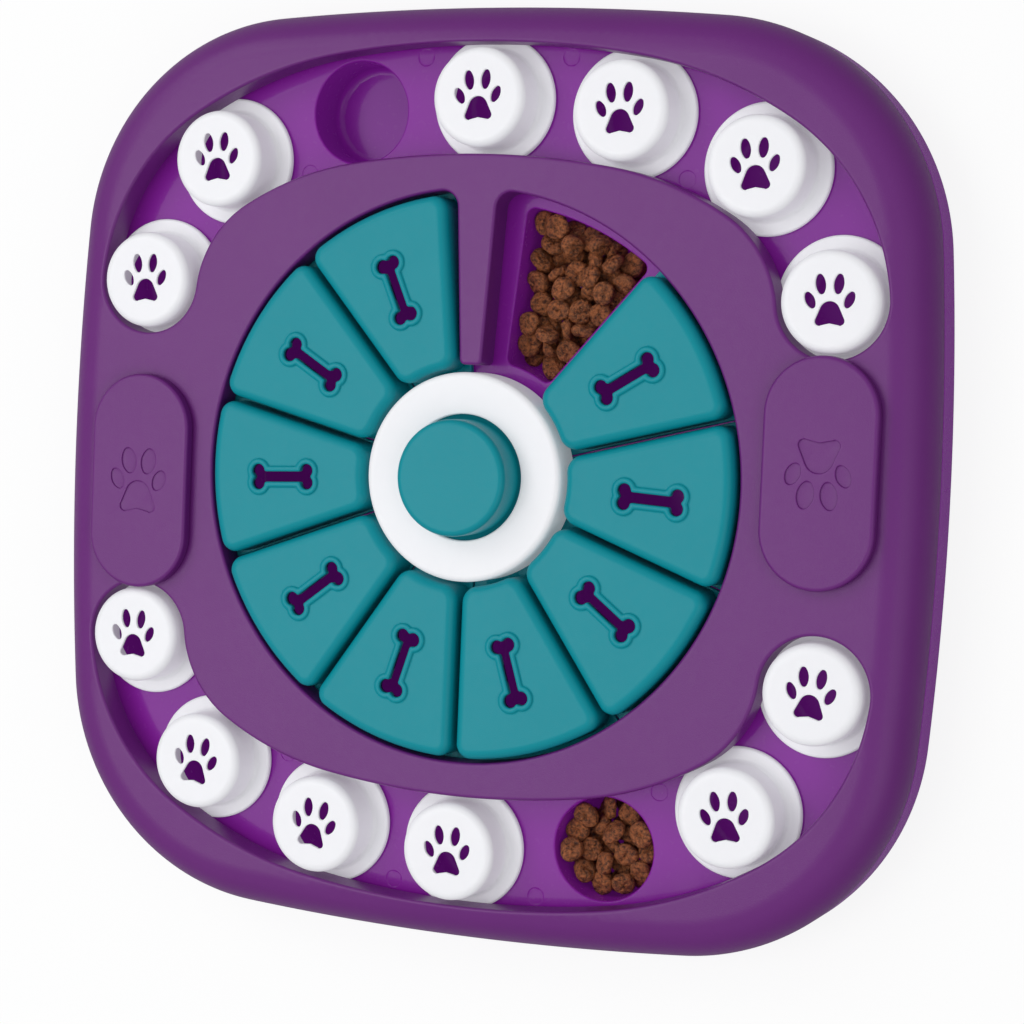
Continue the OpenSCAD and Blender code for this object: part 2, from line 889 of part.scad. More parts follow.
module cover() {
    color([0.29, 0.11, 0.42])
        difference() {
            union() {
                board_sweep()
                    rim_section();
                slab(cover_bottom, cover_top)
                    board_plan(lid_inset);
                slab(hanging_bottom, hanging_top)
                    both_tracks(hanging_wall);
                difference() {
                    disc(opening_radius + hanging_wall, hanging_bottom, hanging_top,
                        $fn = fine);
                    slab(hanging_bottom - 1, cover_bottom)
                        spoke_plan(hanging_wall);
                }
                at_cover_screws()
                    disc(boss_radius, deck_top, hanging_top);
            }
            slab(hanging_bottom - 1, cover_top + 1)
                both_tracks(0);
            slab(hanging_bottom - 1, cover_top + 1)
                round_opening();
            at_spoke_corners()
                disc(spoke_fillet + joint_step, hanging_bottom - 1, cover_top + 1);
            for (x = [-pad_distance, pad_distance])
                translate([x, 0, 0])
                    slab(cover_bottom - 1, cover_top + 1)
                        pad_slot();
            at_cover_screws()
                disc(screw_radius + shank_clearance, deck_top - 1,
                    deck_top + pilot_depth);
        }
}

// ---------------------------------------------------------------- middle

module at_ring_screws() {
    for (turn = ring_boss_turns)
        rotate([0, 0, turn])
            translate([ring_boss_circle, 0])
                children();
}

module center_ring() {
    underside = ring_top - ring_wall;
    color([0.93, 0.93, 0.93])
        difference() {
            union() {
                difference() {
                    rounded_disc(ring_radius, hanging_bottom, ring_top, ring_rounding);
                    disc(ring_radius - ring_wall, hanging_bottom - 1, underside);
                }
                disc(guide_radius + guide_wall, guide_bottom, underside + epsilon);
                at_ring_screws()
                    disc(boss_radius, deck_top, underside + epsilon);
            }
            disc(button_hole, guide_bottom - 1, ring_top + 1);
            disc(guide_radius, guide_bottom - 1, underside);
            at_ring_screws()
                disc(screw_radius + shank_clearance, deck_top - 1,
                    deck_top + pilot_depth);
        }
}

module button() {
    flange_bottom = button_flange_top - button_flange_thickness;
    ceiling = button_top - button_wall;
    color([0.05, 0.46, 0.47])
        difference() {
            union() {
                difference() {
                    union() {
                        rounded_disc(
                            button_radius, flange_bottom, button_top, button_rounding
                        );
                        disc(button_flange_radius, flange_bottom, button_flange_top);
                    }
                    disc(button_radius - button_wall, flange_bottom - 1, ceiling);
                }
                disc(plunger_radius, flange_bottom, ceiling + epsilon);
            }
            disc(plunger_radius - button_wall, flange_bottom - 1, ceiling);
        }
}

module squeaker() {
    fold = (squeaker_top - deck_top) / fold_count;
    color([0.82, 0.82, 0.80])
        difference() {
            rotate_extrude() {
                translate([0, deck_top])
                    square([squeaker_radius - fold_depth, squeaker_top - deck_top]);
                for (i = [0:fold_count - 1])
                    polygon([
                        [squeaker_radius - fold_depth - 1, deck_top + i * fold],
                        [squeaker_radius - fold_depth, deck_top + i * fold],
                        [squeaker_radius, deck_top + (i + 0.4) * fold],
                        [squeaker_radius, deck_top + (i + 0.6) * fold],
                        [squeaker_radius - fold_depth, deck_top + (i + 1) * fold],
                        [squeaker_radius - fold_depth - 1, deck_top + (i + 1) * fold]
                    ]);
            }
            disc(squeaker_radius - fold_depth - 1.5, deck_top + 1.5, squeaker_top - 1.5);
            disc(1.5, deck_top - 1, deck_top + 2);
        }
}

// ---------------------------------------------------------------- sliders

// A knob with its flange, standing at its stop, its paw turned by "turn"
module knob(turn) {
    color([0.95, 0.95, 0.95])
        difference() {
            union() {
                rounded_disc(knob_radius, slider_bottom, knob_top, knob_rounding);
                disc(knob_flange_radius, slider_bottom, flange_top);
            }
            disc(knob_radius - slider_wall, slider_bottom - 1, knob_top - slider_wall);
            rotate([0, 0, turn])
                slab(knob_top - slider_wall - 1, knob_top + 1)
                    scale(paw_size)
                        paw(knob_toes);
        }
}

module back_slider(i) {
    translate(knob_stops[i - 1])
        knob(back_paw_turns[i - 1]);
}

module front_slider(i) {
    translate(-knob_stops[i - 1])
        knob(front_paw_turns[i - 1]);
}

// Straight side of a wedge with a rounded top edge, as a long solid along X
module side_limit(rounding) {
    far = 2 * opening_radius;
    rotate([quarter, 0, quarter])
        linear_extrude(far)
            translate([wedge_gap / 2, 0]) {
                translate([0, slider_bottom])
                    square([far, wedge_top - rounding - slider_bottom]);
                translate([rounding, slider_bottom])
                    square([far, wedge_top - slider_bottom]);
                translate([rounding, wedge_top - rounding])
                    circle(rounding);
            }
}

// Block of one wedge on +X, its upper edges rounded
module wedge_block() {
    half = slot_pitch / 2;
    intersection() {
        slab(slider_bottom, wedge_top)
            slot_plan(
                wedge_inner, wedge_outer, wedge_gap / 2,
                wedge_inner_corner, wedge_outer_corner
            );
        rounded_disc(wedge_outer, slider_bottom, wedge_top, wedge_rounding, $fn = fine);
        rotate([0, 0, -half])
            side_limit(wedge_rounding);
        mirror([0, 1, 0])
            rotate([0, 0, -half])
                side_limit(wedge_rounding);
    }
}

module bone_wedge(i) {
    ceiling = wedge_top - slider_wall;
    rotate([0, 0, open_slot_angle - i * slot_pitch])
        color([0.05, 0.46, 0.47])
            difference() {
                union() {
                    wedge_block();
                    slab(slider_bottom, flange_top)
                        slot_plan(
                            wedge_flange_inner, wedge_flange_outer,
                            wedge_flange_gap / 2, flange_corner, flange_corner
                        );
                    translate([bone_centre, 0])
                        slab(wedge_top - epsilon, wedge_top + bead_height)
                            bone(bead_width);
                }
                slab(slider_bottom - 1, ceiling)
                    slot_plan(
                        wedge_inner + slider_wall, wedge_outer - slider_wall,
                        wedge_gap / 2 + slider_wall,
                        wedge_inner_corner - slider_wall,
                        wedge_outer_corner - slider_wall
                    );
                translate([bone_centre, 0])
                    slab(ceiling - 1, wedge_top + bead_height + 1)
                        bone(0);
            }
}

// ---------------------------------------------------------------- pads

// Half section of the rounded end of a pad
module pad_section() {
    rounded_section(pad_width / 2, pad_bottom, pad_bottom + pad_height, pad_rounding);
}

module pad_body() {
    straight = pad_length - pad_width;
    for (y = [-straight / 2, straight / 2])
        translate([0, y, 0])
            rotate_extrude()
                pad_section();
    rotate([quarter, 0, 0])
        translate([0, 0, -straight / 2])
            linear_extrude(straight)
                for (side = [0, 1])
                    mirror([side, 0])
                        pad_section();
    slab(keeper_top, pad_bottom + epsilon)
        square([stem_width, stem_length], center = true);
}

module pad(turn) {
    color([0.29, 0.11, 0.42])
        difference() {
            pad_body();
            rotate([0, 0, turn])
                slab(pad_bottom + pad_height - pad_paw_depth, pad_bottom + pad_height + 1)
                    scale(pad_paw_scale)
                        paw(pad_toes);
            at_pad_screws()
                disc(screw_radius + shank_clearance, keeper_top - 1,
                    keeper_top + pad_screw_length - keeper_thickness + 0.5);
        }
}

module at_pad_screws() {
    for (y = [-pad_screw_spacing, pad_screw_spacing])
        translate([0, y])
            children();
}

module keeper() {
    width = pad_slot_width + 2 * keeper_reach;
    color([0.29, 0.11, 0.42])
        difference() {
            slab(keeper_top - keeper_thickness, keeper_top)
                square([width, stem_length], center = true);
            at_pad_screws()
                disc(screw_hole_radius, keeper_top - keeper_thickness - 1,
                    keeper_top + 1);
        }
}

module pad_screws() {
    at_pad_screws()
        screw(keeper_top - keeper_thickness, pad_screw_length);
}

// ---------------------------------------------------------------- fixings

// A screw from below: its head hangs under the given level
module screw(level, length) {
    color([0.6, 0.6, 0.62]) {
        disc(screw_head_radius, level - screw_head_height, level);
        disc(screw_radius, level - epsilon, level + length);
    }
}

module cover_screws() {
    at_cover_screws()
        screw(deck_bottom, screw_length);
}

module ring_screws() {
    at_ring_screws()
        screw(deck_bottom, screw_length);
}

module at_feet() {
    in_corners(outer_land)
        children();
    for (x = [-1, 1])
        translate([x * side_foot[0], 0])
            children();
}

module feet() {
    color([0.10, 0.10, 0.11])
        at_feet() {
            disc(foot_radius, 0, foot_height);
            disc(plug_radius - plug_clearance, foot_height - epsilon,
                foot_height + plug_height);
        }
}

// ---------------------------------------------------------------- assembly

tray();
for (i = [1:tray_parts])
    well_part(i);
for (i = [1:tray_parts])
    rotate([0, 0, 2 * quarter]) well_part(i);
for (i = [1:tray_parts])
    pocket_part(i);
cover();
center_ring();
button();
squeaker();
feet();
cover_screws();
ring_screws();
for (i = [1:knob_count])
    back_slider(i);
for (i = [1:knob_count])
    front_slider(i);
for (i = [1:slot_count - 1])
    bone_wedge(i);
translate([-pad_distance, -pad_offset, 0]) pad(0);  // pad_left
translate([pad_distance, pad_offset, 0]) pad(2 * quarter);  // pad_right
translate([-pad_distance, -pad_offset, 0]) keeper();  // pad_keeper_left
translate([pad_distance, pad_offset, 0]) keeper();  // pad_keeper_right
translate([-pad_distance, -pad_offset, 0]) pad_screws();  // pad_screws_left
translate([pad_distance, pad_offset, 0]) pad_screws();  // pad_screws_right
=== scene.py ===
# %% [markdown]
# # A dog puzzle feeder, dressed piece by piece
# The toy is a rounded-square board. A purple cover lies over a brighter purple
# tray full of small wells. White knobs slide in two curved tracks, teal wedges
# turn round a white ring with a squeaker button, and two oval pads slide at the
# sides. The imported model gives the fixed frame, and each cell dresses one piece.

import math

import bmesh
import bpy
import numpy as np
from mathutils import Matrix, Vector
from mathutils.geometry import delaunay_2d_cdt


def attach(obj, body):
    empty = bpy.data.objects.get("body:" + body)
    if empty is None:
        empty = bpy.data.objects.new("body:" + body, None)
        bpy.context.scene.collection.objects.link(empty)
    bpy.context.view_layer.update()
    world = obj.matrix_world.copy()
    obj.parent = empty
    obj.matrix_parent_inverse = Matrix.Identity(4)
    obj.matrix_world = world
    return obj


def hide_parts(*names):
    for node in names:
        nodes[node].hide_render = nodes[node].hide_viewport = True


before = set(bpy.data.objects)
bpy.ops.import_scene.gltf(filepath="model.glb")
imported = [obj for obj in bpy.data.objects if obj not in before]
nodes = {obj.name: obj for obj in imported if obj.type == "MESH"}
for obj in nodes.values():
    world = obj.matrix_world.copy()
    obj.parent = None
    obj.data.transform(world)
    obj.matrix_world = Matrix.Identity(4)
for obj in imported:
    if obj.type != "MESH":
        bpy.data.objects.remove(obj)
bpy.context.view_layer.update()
MM = 0.001

# %% [markdown]
# ## Measures
# Every level is the same as in the construction model. The levels are written
# once here, in millimetres, so that a wall or a gap is never guessed.

# %% Levels above the floor
FLOOR_LEVEL = 2.0
WELL_BOTTOM = 3.8
DECK_TOP = 24.8
DECK_BOTTOM = 22.6
SEAM = 20.0
RIM_LEVEL = 23.5
COVER_TOP = 41.0
COVER_BOTTOM = 38.6
SLIDER_BOTTOM = 25.1
FLANGE_TOP = 27.7
HANGING_BOTTOM = 28.2
KNOB_TOP = 44.6
WEDGE_TOP = 44.4
RING_TOP = 44.5
BUTTON_TOP = 57.3
PAD_BOTTOM = 41.4
PAD_TOP = 46.2

# %% [markdown]
# ## Outlines
# A moulded part is easiest to describe by its outline. Each outline here is a
# closed row of points, made of arcs and straight lines that touch smoothly. The
# normals come from the neighbours of each point, so a ring at any distance
# from the outline is the points plus that distance times the normals.


# %% Rows of points and their offsets
def arc(centre, radius, start, end, step=2.0):
    """Points centre + radius * (cos a, sin a) for a from start to end degrees,
    about step millimetres apart, without the last point."""
    length = abs(math.radians(end - start)) * radius
    count = max(3, int(math.ceil(length / step)))
    a = np.radians(start + (end - start) * np.arange(count) / count)
    return np.array(centre) + radius * np.stack([np.cos(a), np.sin(a)], 1)


def circle(radius, step, centre=(0, 0)):
    """A full circle, anticlockwise."""
    return arc(centre, radius, 0, 360, step)


def line(start, end, step=2.0):
    """Points on the straight line from start to end, without the last point."""
    start, end = np.array(start, float), np.array(end, float)
    count = max(1, int(math.ceil(np.linalg.norm(end - start) / step)))
    t = np.arange(count)[:, None] / count
    return start * (1 - t) + end * t


def outward(loop):
    """Unit normals of a closed loop that runs anticlockwise: the mean of the two
    neighbouring edges, each turned a quarter to the right."""
    before = loop - np.roll(loop, 1, 0)
    after = np.roll(loop, -1, 0) - loop
    before = before / np.linalg.norm(before, axis=1, keepdims=True)
    after = after / np.linalg.norm(after, axis=1, keepdims=True)
    along = before + after
    along = along / np.linalg.norm(along, axis=1, keepdims=True)
    return np.stack([along[:, 1], -along[:, 0]], 1)


def offset(loop, distance):
    """The loop moved outwards by a distance, or inwards where it is negative."""
    return loop + distance * outward(loop)


def turned(points, degrees):
    """Points turned about the origin."""
    a = math.radians(degrees)
    turn = np.array([[math.cos(a), math.sin(a)], [-math.sin(a), math.cos(a)]])
    return points @ turn


def inside(points, loop):
    """Even-odd test: a point is inside where a ray to +X crosses the loop an odd
    number of times."""
    x, y = points[:, 0][:, None], points[:, 1][:, None]
    ax, ay = loop[:, 0], loop[:, 1]
    bx, by = np.roll(ax, -1), np.roll(ay, -1)
    found = np.zeros(len(points), bool)
    for part in range(0, len(points), 4000):
        s = slice(part, part + 4000)
        cross = (ay > y[s]) != (by > y[s])
        with np.errstate(divide="ignore", invalid="ignore"):
            at = ax + (y[s] - ay) * (bx - ax) / (by - ay)
        found[s] = (cross & (x[s] < at)).sum(1) % 2 == 1
    return found


def distance_to(points, loop):
    """Shortest distance from each point to the edges of a closed loop."""
    a, b = loop, np.roll(loop, -1, 0)
    edge = b - a
    size = (edge**2).sum(1)
    best = np.empty(len(points))
    for part in range(0, len(points), 2000):
        p = points[part : part + 2000, None, :]
        t = np.clip(((p - a) * edge).sum(2) / size, 0, 1)
        gap = p - (a + t[..., None] * edge)
        best[part : part + 2000] = np.sqrt((gap**2).sum(2).min(1))
    return best


# %% [markdown]
# The board is four bowed sides and four corners. Where two arcs touch, both
# centres and the touching point lie on one line.

# %% Outline of the board
HALF_WIDTH = 190.5
CENTRE_DISTANCE = 1187.5
TANGENT = np.array([3116.0, 237.0]) / 3125.0
CORNER_CENTRE = CENTRE_DISTANCE * TANGENT[1]
SIDE_CENTRE = CORNER_CENTRE - CENTRE_DISTANCE * TANGENT[0]
SIDE_RADIUS = HALF_WIDTH - SIDE_CENTRE
CORNER_RADIUS = SIDE_RADIUS - CENTRE_DISTANCE
SIDE_TURN = math.degrees(math.atan2(TANGENT[1], TANGENT[0]))


def board_loop(step=2.5):
    """One side arc and one corner arc, repeated in four quarter turns."""
    side = arc((SIDE_CENTRE, 0), SIDE_RADIUS, -SIDE_TURN, SIDE_TURN, step)
    middle = (CORNER_CENTRE, CORNER_CENTRE)
    corner = arc(middle, CORNER_RADIUS, SIDE_TURN, 90 - SIDE_TURN, step)
    quarter = np.concatenate([side, corner])
    return np.concatenate([turned(quarter, 90 * i) for i in range(4)])


def board_inset(points):
    """How far a point lies inside the outline: the radius of its own arc less
    its distance from the centre of that arc."""
    p = np.abs(points)
    p = np.where((p[:, 1] > p[:, 0])[:, None], p[:, ::-1], p)
    in_corner = (p[:, 1] - CORNER_CENTRE) * TANGENT[0] > (
        p[:, 0] - CORNER_CENTRE
    ) * TANGENT[1]
    centre = np.where(
        in_corner[:, None], [CORNER_CENTRE, CORNER_CENTRE], [SIDE_CENTRE, 0.0]
    )
    radius = np.where(in_corner, CORNER_RADIUS, SIDE_RADIUS)
    return radius - np.linalg.norm(p - centre, axis=1)


print("corner radius", round(CORNER_RADIUS, 2), "side radius", round(SIDE_RADIUS, 1))

# %% [markdown]
# A track follows three kinds of arc about three centres. The knobs stop at
# seven places on it.


# %% Track centres, stops and outline
def heading(degrees):
    """Unit vector turned clockwise from +Y."""
    a = math.radians(degrees)
    return np.array([math.sin(a), math.cos(a)])


TURN_3, TURN_2, TURN_1 = 9.2, 31.8, 83.8
MIDDLE_RADIUS, BEND_RADIUS, END_RADIUS = 380.0, 154.0, 69.0
TRACK_REACH = 152.7
STOP_4 = np.array([0.0, TRACK_REACH])
MIDDLE_PIVOT = np.array([0.0, TRACK_REACH - MIDDLE_RADIUS])
STOP_3 = MIDDLE_PIVOT + MIDDLE_RADIUS * heading(TURN_3)
BEND_PIVOT = STOP_3 - BEND_RADIUS * heading(TURN_3)
STOP_2 = BEND_PIVOT + BEND_RADIUS * heading(TURN_2)
END_PIVOT = STOP_2 - END_RADIUS * heading(TURN_2)
STOP_1 = END_PIVOT + END_RADIUS * heading(TURN_1)
FLIP = np.array([-1.0, 1.0])
STOPS = [STOP_1 * FLIP, STOP_2 * FLIP, STOP_3 * FLIP, STOP_4, STOP_3, STOP_2, STOP_1]
OPEN_STOP = 2
KNOB_STOPS = STOPS[:OPEN_STOP] + STOPS[OPEN_STOP + 1 :]
TRACK_HALF = 22.4


def track_loop(half=TRACK_HALF, step=1.6):
    """Outer arcs from the right end to the left end, a half circle round the left
    end, the inner arcs back, and a half circle round the right end."""
    outer, inner = [], []
    for pivot, radius, low, high in (
        (END_PIVOT, END_RADIUS, TURN_2, TURN_1),
        (BEND_PIVOT, BEND_RADIUS, TURN_3, TURN_2),
        (MIDDLE_PIVOT, MIDDLE_RADIUS, 0.0, TURN_3),
    ):
        outer.append(arc(pivot, radius + half, 90 - high, 90 - low, step))
        inner.append(arc(pivot, radius - half, 90 - low, 90 - high, step))
    outer = np.concatenate(outer)
    inner = np.concatenate(inner[::-1])
    middle = np.array([[0.0, TRACK_REACH + half]])
    low_middle = np.array([[0.0, TRACK_REACH - half]])
    left_outer = outer[::-1] * FLIP
    to_end = np.concatenate([inner[1:], [STOP_1 - half * heading(TURN_1)]])
    left_inner = to_end[::-1] * FLIP
    right_end = arc(STOP_1, half, 90 - TURN_1 - 180, 90 - TURN_1, step)
    left_end = arc(STOP_1 * FLIP, half, 90 + TURN_1, 270 + TURN_1, step)
    left = [left_outer[:-1], left_end, left_inner]
    return np.concatenate([outer, middle, *left, low_middle, inner[1:], right_end])


# %% [markdown]
# The round opening of the cover is a circle with one notch for the fixed spoke.

# %% Outline of the round opening
OPENING = 116.2
SPOKE_TIP, SPOKE_TIP_HALF, SPOKE_ROOT_HALF = 45.4, 4.8, 8.9
SPOKE_FILLET, TIP_ROUND = 6.6, 2.4


def opening_loop(step=1.6):
    """Circle, corner arc, down one side of the spoke, round its tip, up the other
    side, corner arc. The corner centre keeps the fillet distance from the side
    and from the circle."""
    start = np.array([SPOKE_TIP_HALF, SPOKE_TIP])
    along = np.array([SPOKE_ROOT_HALF, OPENING]) - start
    along /= np.linalg.norm(along)
    out = np.array([along[1], -along[0]])
    base = start + SPOKE_FILLET * out
    reach = OPENING - SPOKE_FILLET
    lead = base @ along
    run = math.sqrt(lead * lead - base @ base + reach * reach) - lead
    centre = base + run * along
    at_circle = math.degrees(math.atan2(centre[1], centre[0]))
    at_side = math.degrees(math.atan2(-out[1], -out[0]))
    lean = math.degrees(math.atan2(along[0], along[1]))
    right = arc(centre, SPOKE_FILLET, at_circle, at_side, 0.8)
    shift = TIP_ROUND / math.cos(math.radians(lean))
    tip_x = SPOKE_TIP_HALF - shift + TIP_ROUND * math.tan(math.radians(lean))
    tip = np.array([tip_x, SPOKE_TIP + TIP_ROUND])
    foot = tip + TIP_ROUND * out
    side = line(centre - SPOKE_FILLET * out, foot, step)
    round_tip = arc(tip, TIP_ROUND, -lean, -90, 0.3)
    half = np.concatenate([right, side, round_tip, [[tip_x, SPOKE_TIP]]])
    mirrored = (half * FLIP)[::-1]
    bottom = line((tip_x, SPOKE_TIP), (-tip_x, SPOKE_TIP), step)[1:]
    rest = arc((0, 0), OPENING, 180 - at_circle, 360 + at_circle, step)
    return np.concatenate([half, bottom, mirrored, rest[1:]])


print("points on the opening:", len(opening_loop()))

# %% [markdown]
# A wedge, its flange and the pocket below it share one rule: a slice of a ring
# whose two sides keep a distance from the edges of its slot, with round corners.

# %% Outline of a slice of the ring
PITCH = 34.8
OPEN_SLOT = 90 - 6 - PITCH / 2


def slice_loop(inner, outer, margin, inner_corner, outer_corner, step=1.2):
    """Slice on +X. A corner centre lies at margin + corner from the slot edge and
    at corner from the arc, so its circle touches both."""
    half = PITCH / 2
    low_y, high_y = margin + inner_corner, margin + outer_corner
    low = np.array([math.sqrt((inner + inner_corner) ** 2 - low_y**2), low_y])
    high = np.array([math.sqrt((outer - outer_corner) ** 2 - high_y**2), high_y])
    low_angle = math.degrees(math.atan2(low[1], low[0]))
    high_angle = math.degrees(math.atan2(high[1], high[0]))
    lower = np.concatenate(
        [
            arc(low, inner_corner, 180 + low_angle, 270, step * 0.6),
            line((low[0], margin), (high[0], margin), step),
            arc(high, outer_corner, -90, high_angle, step * 0.6),
        ]
    )
    lower = turned(lower, -half)
    rim = arc((0, 0), outer, high_angle - half, half - high_angle, step)
    end = math.radians(half - high_angle)
    last = outer * np.array([math.cos(end), math.sin(end)])
    upper = (lower * [1, -1])[::-1]
    back = arc((0, 0), inner, half - low_angle, low_angle - half, step)
    return np.concatenate([lower, rim, [last], upper[:-1], back])


# %% [markdown]
# The paw has one broad pad and four toes. Each is star-shaped about its
# middle, so its outline is found along every direction from there. The bone is
# a shaft with four round knuckles, joined by small fillets.


# %% Paw and bone outlines
def drop_distance(p, low, low_radius, high, high_radius):
    """Signed distance to two round ends joined by their outer tangents."""
    low, high = np.array(low, float), np.array(high, float)
    span = high - low
    size = np.linalg.norm(span)
    u = span / size
    lean = (low_radius - high_radius) / size
    q = p - low
    x, y = np.abs(q @ np.array([-u[1], u[0]])), q @ u
    side = math.sqrt(1 - lean * lean)
    k = -lean * x + side * y
    near = np.hypot(x, y) - low_radius
    far = np.hypot(x, y - size) - high_radius
    flank = side * x + lean * y - low_radius
    return np.where(k < 0, near, np.where(k > side * size, far, flank))


def star_loop(signed, centre, reach, count):
    """Outline of a star-shaped form: halving along each direction from its middle
    until the signed distance is zero."""
    a = 2 * math.pi * np.arange(count) / count
    ray = np.stack([np.cos(a), np.sin(a)], 1)
    low, high = np.zeros(count), np.full(count, float(reach))
    for _ in range(30):
        middle = (low + high) / 2
        within = signed(centre + ray * middle[:, None]) < 0
        low, high = np.where(within, middle, low), np.where(within, high, middle)
    return centre + ray * low[:, None]


def even_loop(loop, step):
    """The same closed outline with its points at even distances."""
    closed = np.concatenate([loop, loop[:1]])
    edges = np.linalg.norm(np.diff(closed, axis=0), axis=1)
    run = np.concatenate([[0], np.cumsum(edges)])
    count = max(12, int(round(run[-1] / step)))
    at = np.linspace(0, run[-1], count + 1)[:-1]
    return np.stack([np.interp(at, run, closed[:, side]) for side in (0, 1)], 1)


# Each toe: the x and y of its middle, its length, width and lean in degrees.
KNOB_TOES = [(3.6, 6.7, 7.5, 3.8, 8.0), (7.8, 0.6, 6.5, 3.5, 26.0)]
PAD_TOES = [(3.2, 5.75, 7.5, 4.7, 10.0), (6.85, 0.35, 6.2, 4.0, 24.0)]


def paw_loops(toes, scale=1.0, turn=0.0, step=0.45):
    """The main pad joins a crown and two lobes, less a circle below that touches
    both lobes. A toe is where two wide circles overlap, with a small round tip
    at each end that touches both from inside."""
    lobe, lobe_radius = np.array([4.25, -7.45]), 1.5
    crown, crown_radius, rise = np.array([0.0, -4.0]), 4.0, 1.1
    arch = (lobe[0] ** 2 + rise**2) / (2 * rise) - lobe_radius
    below = np.array([0, lobe[1] - lobe_radius + rise - arch])

    def palm(p):
        right = drop_distance(p, lobe, lobe_radius, crown, crown_radius)
        left = drop_distance(p, lobe * [-1, 1], lobe_radius, crown, crown_radius)
        slope = (crown[1] - lobe[1]) / lobe[0]
        under = p[:, 1] + np.abs(p[:, 0]) * slope - crown[1]
        fill = np.maximum(np.abs(p[:, 0]) - lobe[0], under)
        fill = np.maximum(fill, arch - np.linalg.norm(p - below, axis=1))
        return np.minimum(np.minimum(left, right), fill)

    def toe(length, width):
        tip = 0.31 * width
        reach = length / 2 - tip
        flank = (width**2 / 4 + reach**2 - tip**2) / (width - 2 * tip)
        level = flank * reach / (flank - tip)

        def signed(p):
            x, y = np.abs(p[:, 0]), np.abs(p[:, 1])
            sides = np.hypot(x + flank - width / 2, y) - flank
            ends = np.hypot(x, y - reach) - tip
            return np.where(y < level, sides, ends)

        return signed

    loops = [star_loop(palm, np.array([0.0, -5.0]), reach=9, count=240)]
    for x, y, length, width, lean in toes:
        for side in (1, -1):
            oval = star_loop(toe(length, width), np.zeros(2), reach=6, count=120)
            loops.append(turned(oval, -side * lean) + [side * x, y])
    return [turned(even_loop(loop, step / scale) * scale, turn) for loop in loops]


def bone_loop(grow=0.0):
    """One quarter: the shaft, a fillet, the knuckle, and a fillet to the other
    knuckle. Each fillet circle touches both neighbours, because its centre lies
    at the sum of the radii from the knuckle's centre. Every ring has the same
    number of points, so rings of different size can be joined."""
    x, y, radius, half, soft = 11.1, 2.45, 2.8 + grow, 2.1 + grow, 0.9
    reach = radius + soft
    neck = x - math.sqrt(reach**2 - (half + soft - y) ** 2)
    end = x + math.sqrt(reach**2 - y**2)
    at_neck = math.degrees(math.atan2(y - half - soft, x - neck))
    at_end = math.degrees(math.atan2(-y, end - x))

    def part(centre, r, start, stop, count):
        a = np.radians(np.linspace(start, stop, count, endpoint=False))
        return np.array(centre) + r * np.stack([np.cos(a), np.sin(a)], 1)

    shaft = np.stack([np.linspace(0, neck, 12, endpoint=False), np.full(12, half)], 1)
    quarter = np.concatenate(
        [
            shaft,
            part((neck, half + soft), soft, -90, at_neck, 5),
            part((x, y), radius, at_neck + 180, at_end, 26),
            part((end, 0), soft, 180 + at_end, 180, 5),
            [[end - soft, 0.0]],
        ]
    )
    lower = (quarter * [1, -1])[::-1][1:]
    right_half = np.concatenate([quarter, lower])
    left_half = -right_half[1:-1]
    return np.concatenate([right_half, left_half])[::-1]


paw_points = sum(len(loop) for loop in paw_loops(KNOB_TOES))
print("points on the paw:", paw_points, "on the bone:", len(bone_loop()))

# %% [markdown]
# ## A moulded shell
# Every plastic piece is a shell: a top face with holes, walls that hang from
# the edges, and an underside. The faces between two outlines are triangulated,
# and each wall is a profile carried along its outline, so the rounded edges are
# true arcs. All the parts share their edge points and close into one skin.


